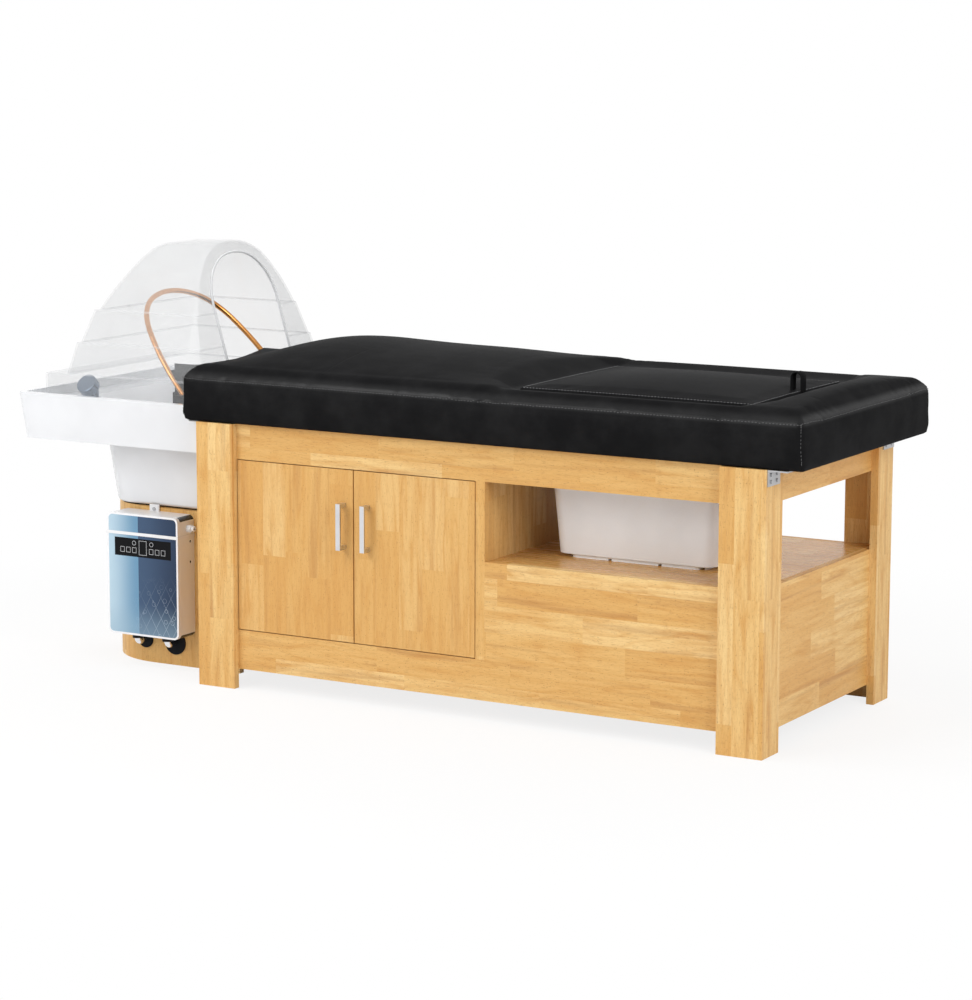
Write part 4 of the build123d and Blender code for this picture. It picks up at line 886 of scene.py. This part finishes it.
arch_points = [(hood_front_x(height), -ARCH_HALF, height) for height in (ARCH_FOOT, LEAN_START, ARCH_SPRING)]
for number in range(1, ARCH_STEPS):
    angle = math.pi * number / ARCH_STEPS
    flat = -math.cos(angle)
    height = ARCH_SPRING + (ARCH_TOP - ARCH_SPRING) * math.sin(angle) ** ARCH_FULLNESS
    across = ARCH_HALF * math.copysign(abs(flat) ** ARCH_FULLNESS, flat)
    arch_points.append((hood_front_x(height), across, height))
arch_points += [(hood_front_x(height), ARCH_HALF, height) for height in (ARCH_SPRING, LEAN_START, ARCH_FOOT)]
bead_line = bpy.data.curves.new("arch_bead_line", "CURVE")
bead_line.dimensions = "3D"
bead_line.bevel_depth = BEAD_RADIUS
bead_line.bevel_resolution = 2
bead_line.use_fill_caps = True
spline = bead_line.splines.new("POLY")
spline.points.add(len(arch_points) - 1)
for spot, place in zip(spline.points, arch_points):
    spot.co = (*place, 1.0)
bead = bpy.data.objects.new("arch_bead", bead_line)
bpy.context.scene.collection.objects.link(bead)
pick(bead)
bpy.ops.object.convert(target="MESH")
bead = smooth(bpy.context.object, 60)
finish_with(bead, moulded("bright_edge", (0.80, 0.81, 0.82), 0.2))
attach(bead, "hood")
print("bead faces", len(bead.data.polygons))

# %% [markdown]
# ## Studio
# A pale floor and a white surround, with two large soft lamps in front, one above and a weaker one behind.
# The surround is white to the eye and in reflections, and lights the bed only weakly. Black leather stays
# black because its own gloss is low, and because the upper and the back lamp don't show in reflections: at
# a low angle they would turn it grey. Near the bed the floor shows a little of its own shading.

# %% Floor and light
WHITE = (1.0, 1.0, 1.0, 1.0)
FLOOR_SIZE, FLOOR_DROP = 30.0, 0.0002
FLOOR_WHITE_NEAR, FLOOR_WHITE_GAIN = 0.82, 0.18
SURROUND_LIGHT = 0.50

deselect()
bpy.ops.mesh.primitive_plane_add(size=FLOOR_SIZE, location=(0.0, 0.0, -FLOOR_DROP))
floor = bpy.context.object
floor.name = "floor"
floor_pot = Pot("floor", Base_Color=(0.88, 0.88, 0.88, 1.0), Roughness=0.9, Specular_IOR_Level=0.1)
white = floor_pot.node("ShaderNodeEmission", {"Color": WHITE, "Strength": 1.0})
shaded = Flow(floor_pot, floor_pot.shader.outputs[0])
floor_x, floor_y = floor_pot.place()[:2]
away = (floor_x * floor_x + floor_y * floor_y).between(1.0, 4.0)
seen = floor_pot.node("ShaderNodeLightPath", out="Is Camera Ray")
through = floor_pot.node("ShaderNodeLightPath", out="Is Transmission Ray")
mirrored = floor_pot.node("ShaderNodeLightPath", out="Is Glossy Ray")
share = seen.most(through).most(mirrored) * (away * FLOOR_WHITE_GAIN + FLOOR_WHITE_NEAR)
blend = floor_pot.node("ShaderNodeMixShader", (share, shaded, white))
floor_pot.tree.links.new(blend.socket, floor_pot.tree.nodes["Material Output"].inputs[0])
finish_with(floor, floor_pot.material)

world = bpy.data.worlds.new("studio")
bpy.context.scene.world = world
world.use_nodes = True
tree = world.node_tree


def backdrop(strength):
    shade = tree.nodes.new("ShaderNodeBackground")
    shade.inputs["Color"].default_value = WHITE
    shade.inputs["Strength"].default_value = strength
    return shade


def choose(test, first, second):
    """Second where the kind of ray named by test is traced, first elsewhere."""
    chooser = tree.nodes.new("ShaderNodeMixShader")
    tree.links.new(rays.outputs[test], chooser.inputs[0])
    tree.links.new(first.outputs[0], chooser.inputs[1])
    tree.links.new(second.outputs[0], chooser.inputs[2])
    return chooser


rays = tree.nodes.new("ShaderNodeLightPath")
surround = backdrop(SURROUND_LIGHT)
for test in ("Is Glossy Ray", "Is Transmission Ray", "Is Camera Ray"):
    surround = choose(test, surround, backdrop(1.0))
tree.links.new(surround.outputs[0], tree.nodes["World Output"].inputs[0])


def softbox(name, place, aim, size, watts):
    lamp = bpy.data.lights.new(name, "AREA")
    lamp.size = size
    lamp.energy = watts
    holder = bpy.data.objects.new(name, lamp)
    bpy.context.scene.collection.objects.link(holder)
    holder.location = place
    holder.rotation_euler = (Vector(aim) - Vector(place)).to_track_quat("-Z", "Y").to_euler()
    return holder


softbox("front_lamp", (-1.6, -3.6, 2.6), (0.0, 0.0, 0.4), size=2.4, watts=77.0)
top_lamp = softbox("top_lamp", (-1.5, -0.9, 3.1), (0.3, 0.0, 0.6), size=1.4, watts=28.0)
softbox("foot_lamp", (3.8, -1.6, 2.2), (0.3, 0.0, 0.4), size=2.0, watts=70.0)
back_lamp = softbox("back_lamp", (0.0, 3.2, 2.8), (0.0, 0.0, 0.6), size=2.4, watts=44.0)
for lamp in (top_lamp, back_lamp):
    lamp.visible_glossy = False
bpy.context.scene.view_settings.view_transform = "Standard"
print("studio ready")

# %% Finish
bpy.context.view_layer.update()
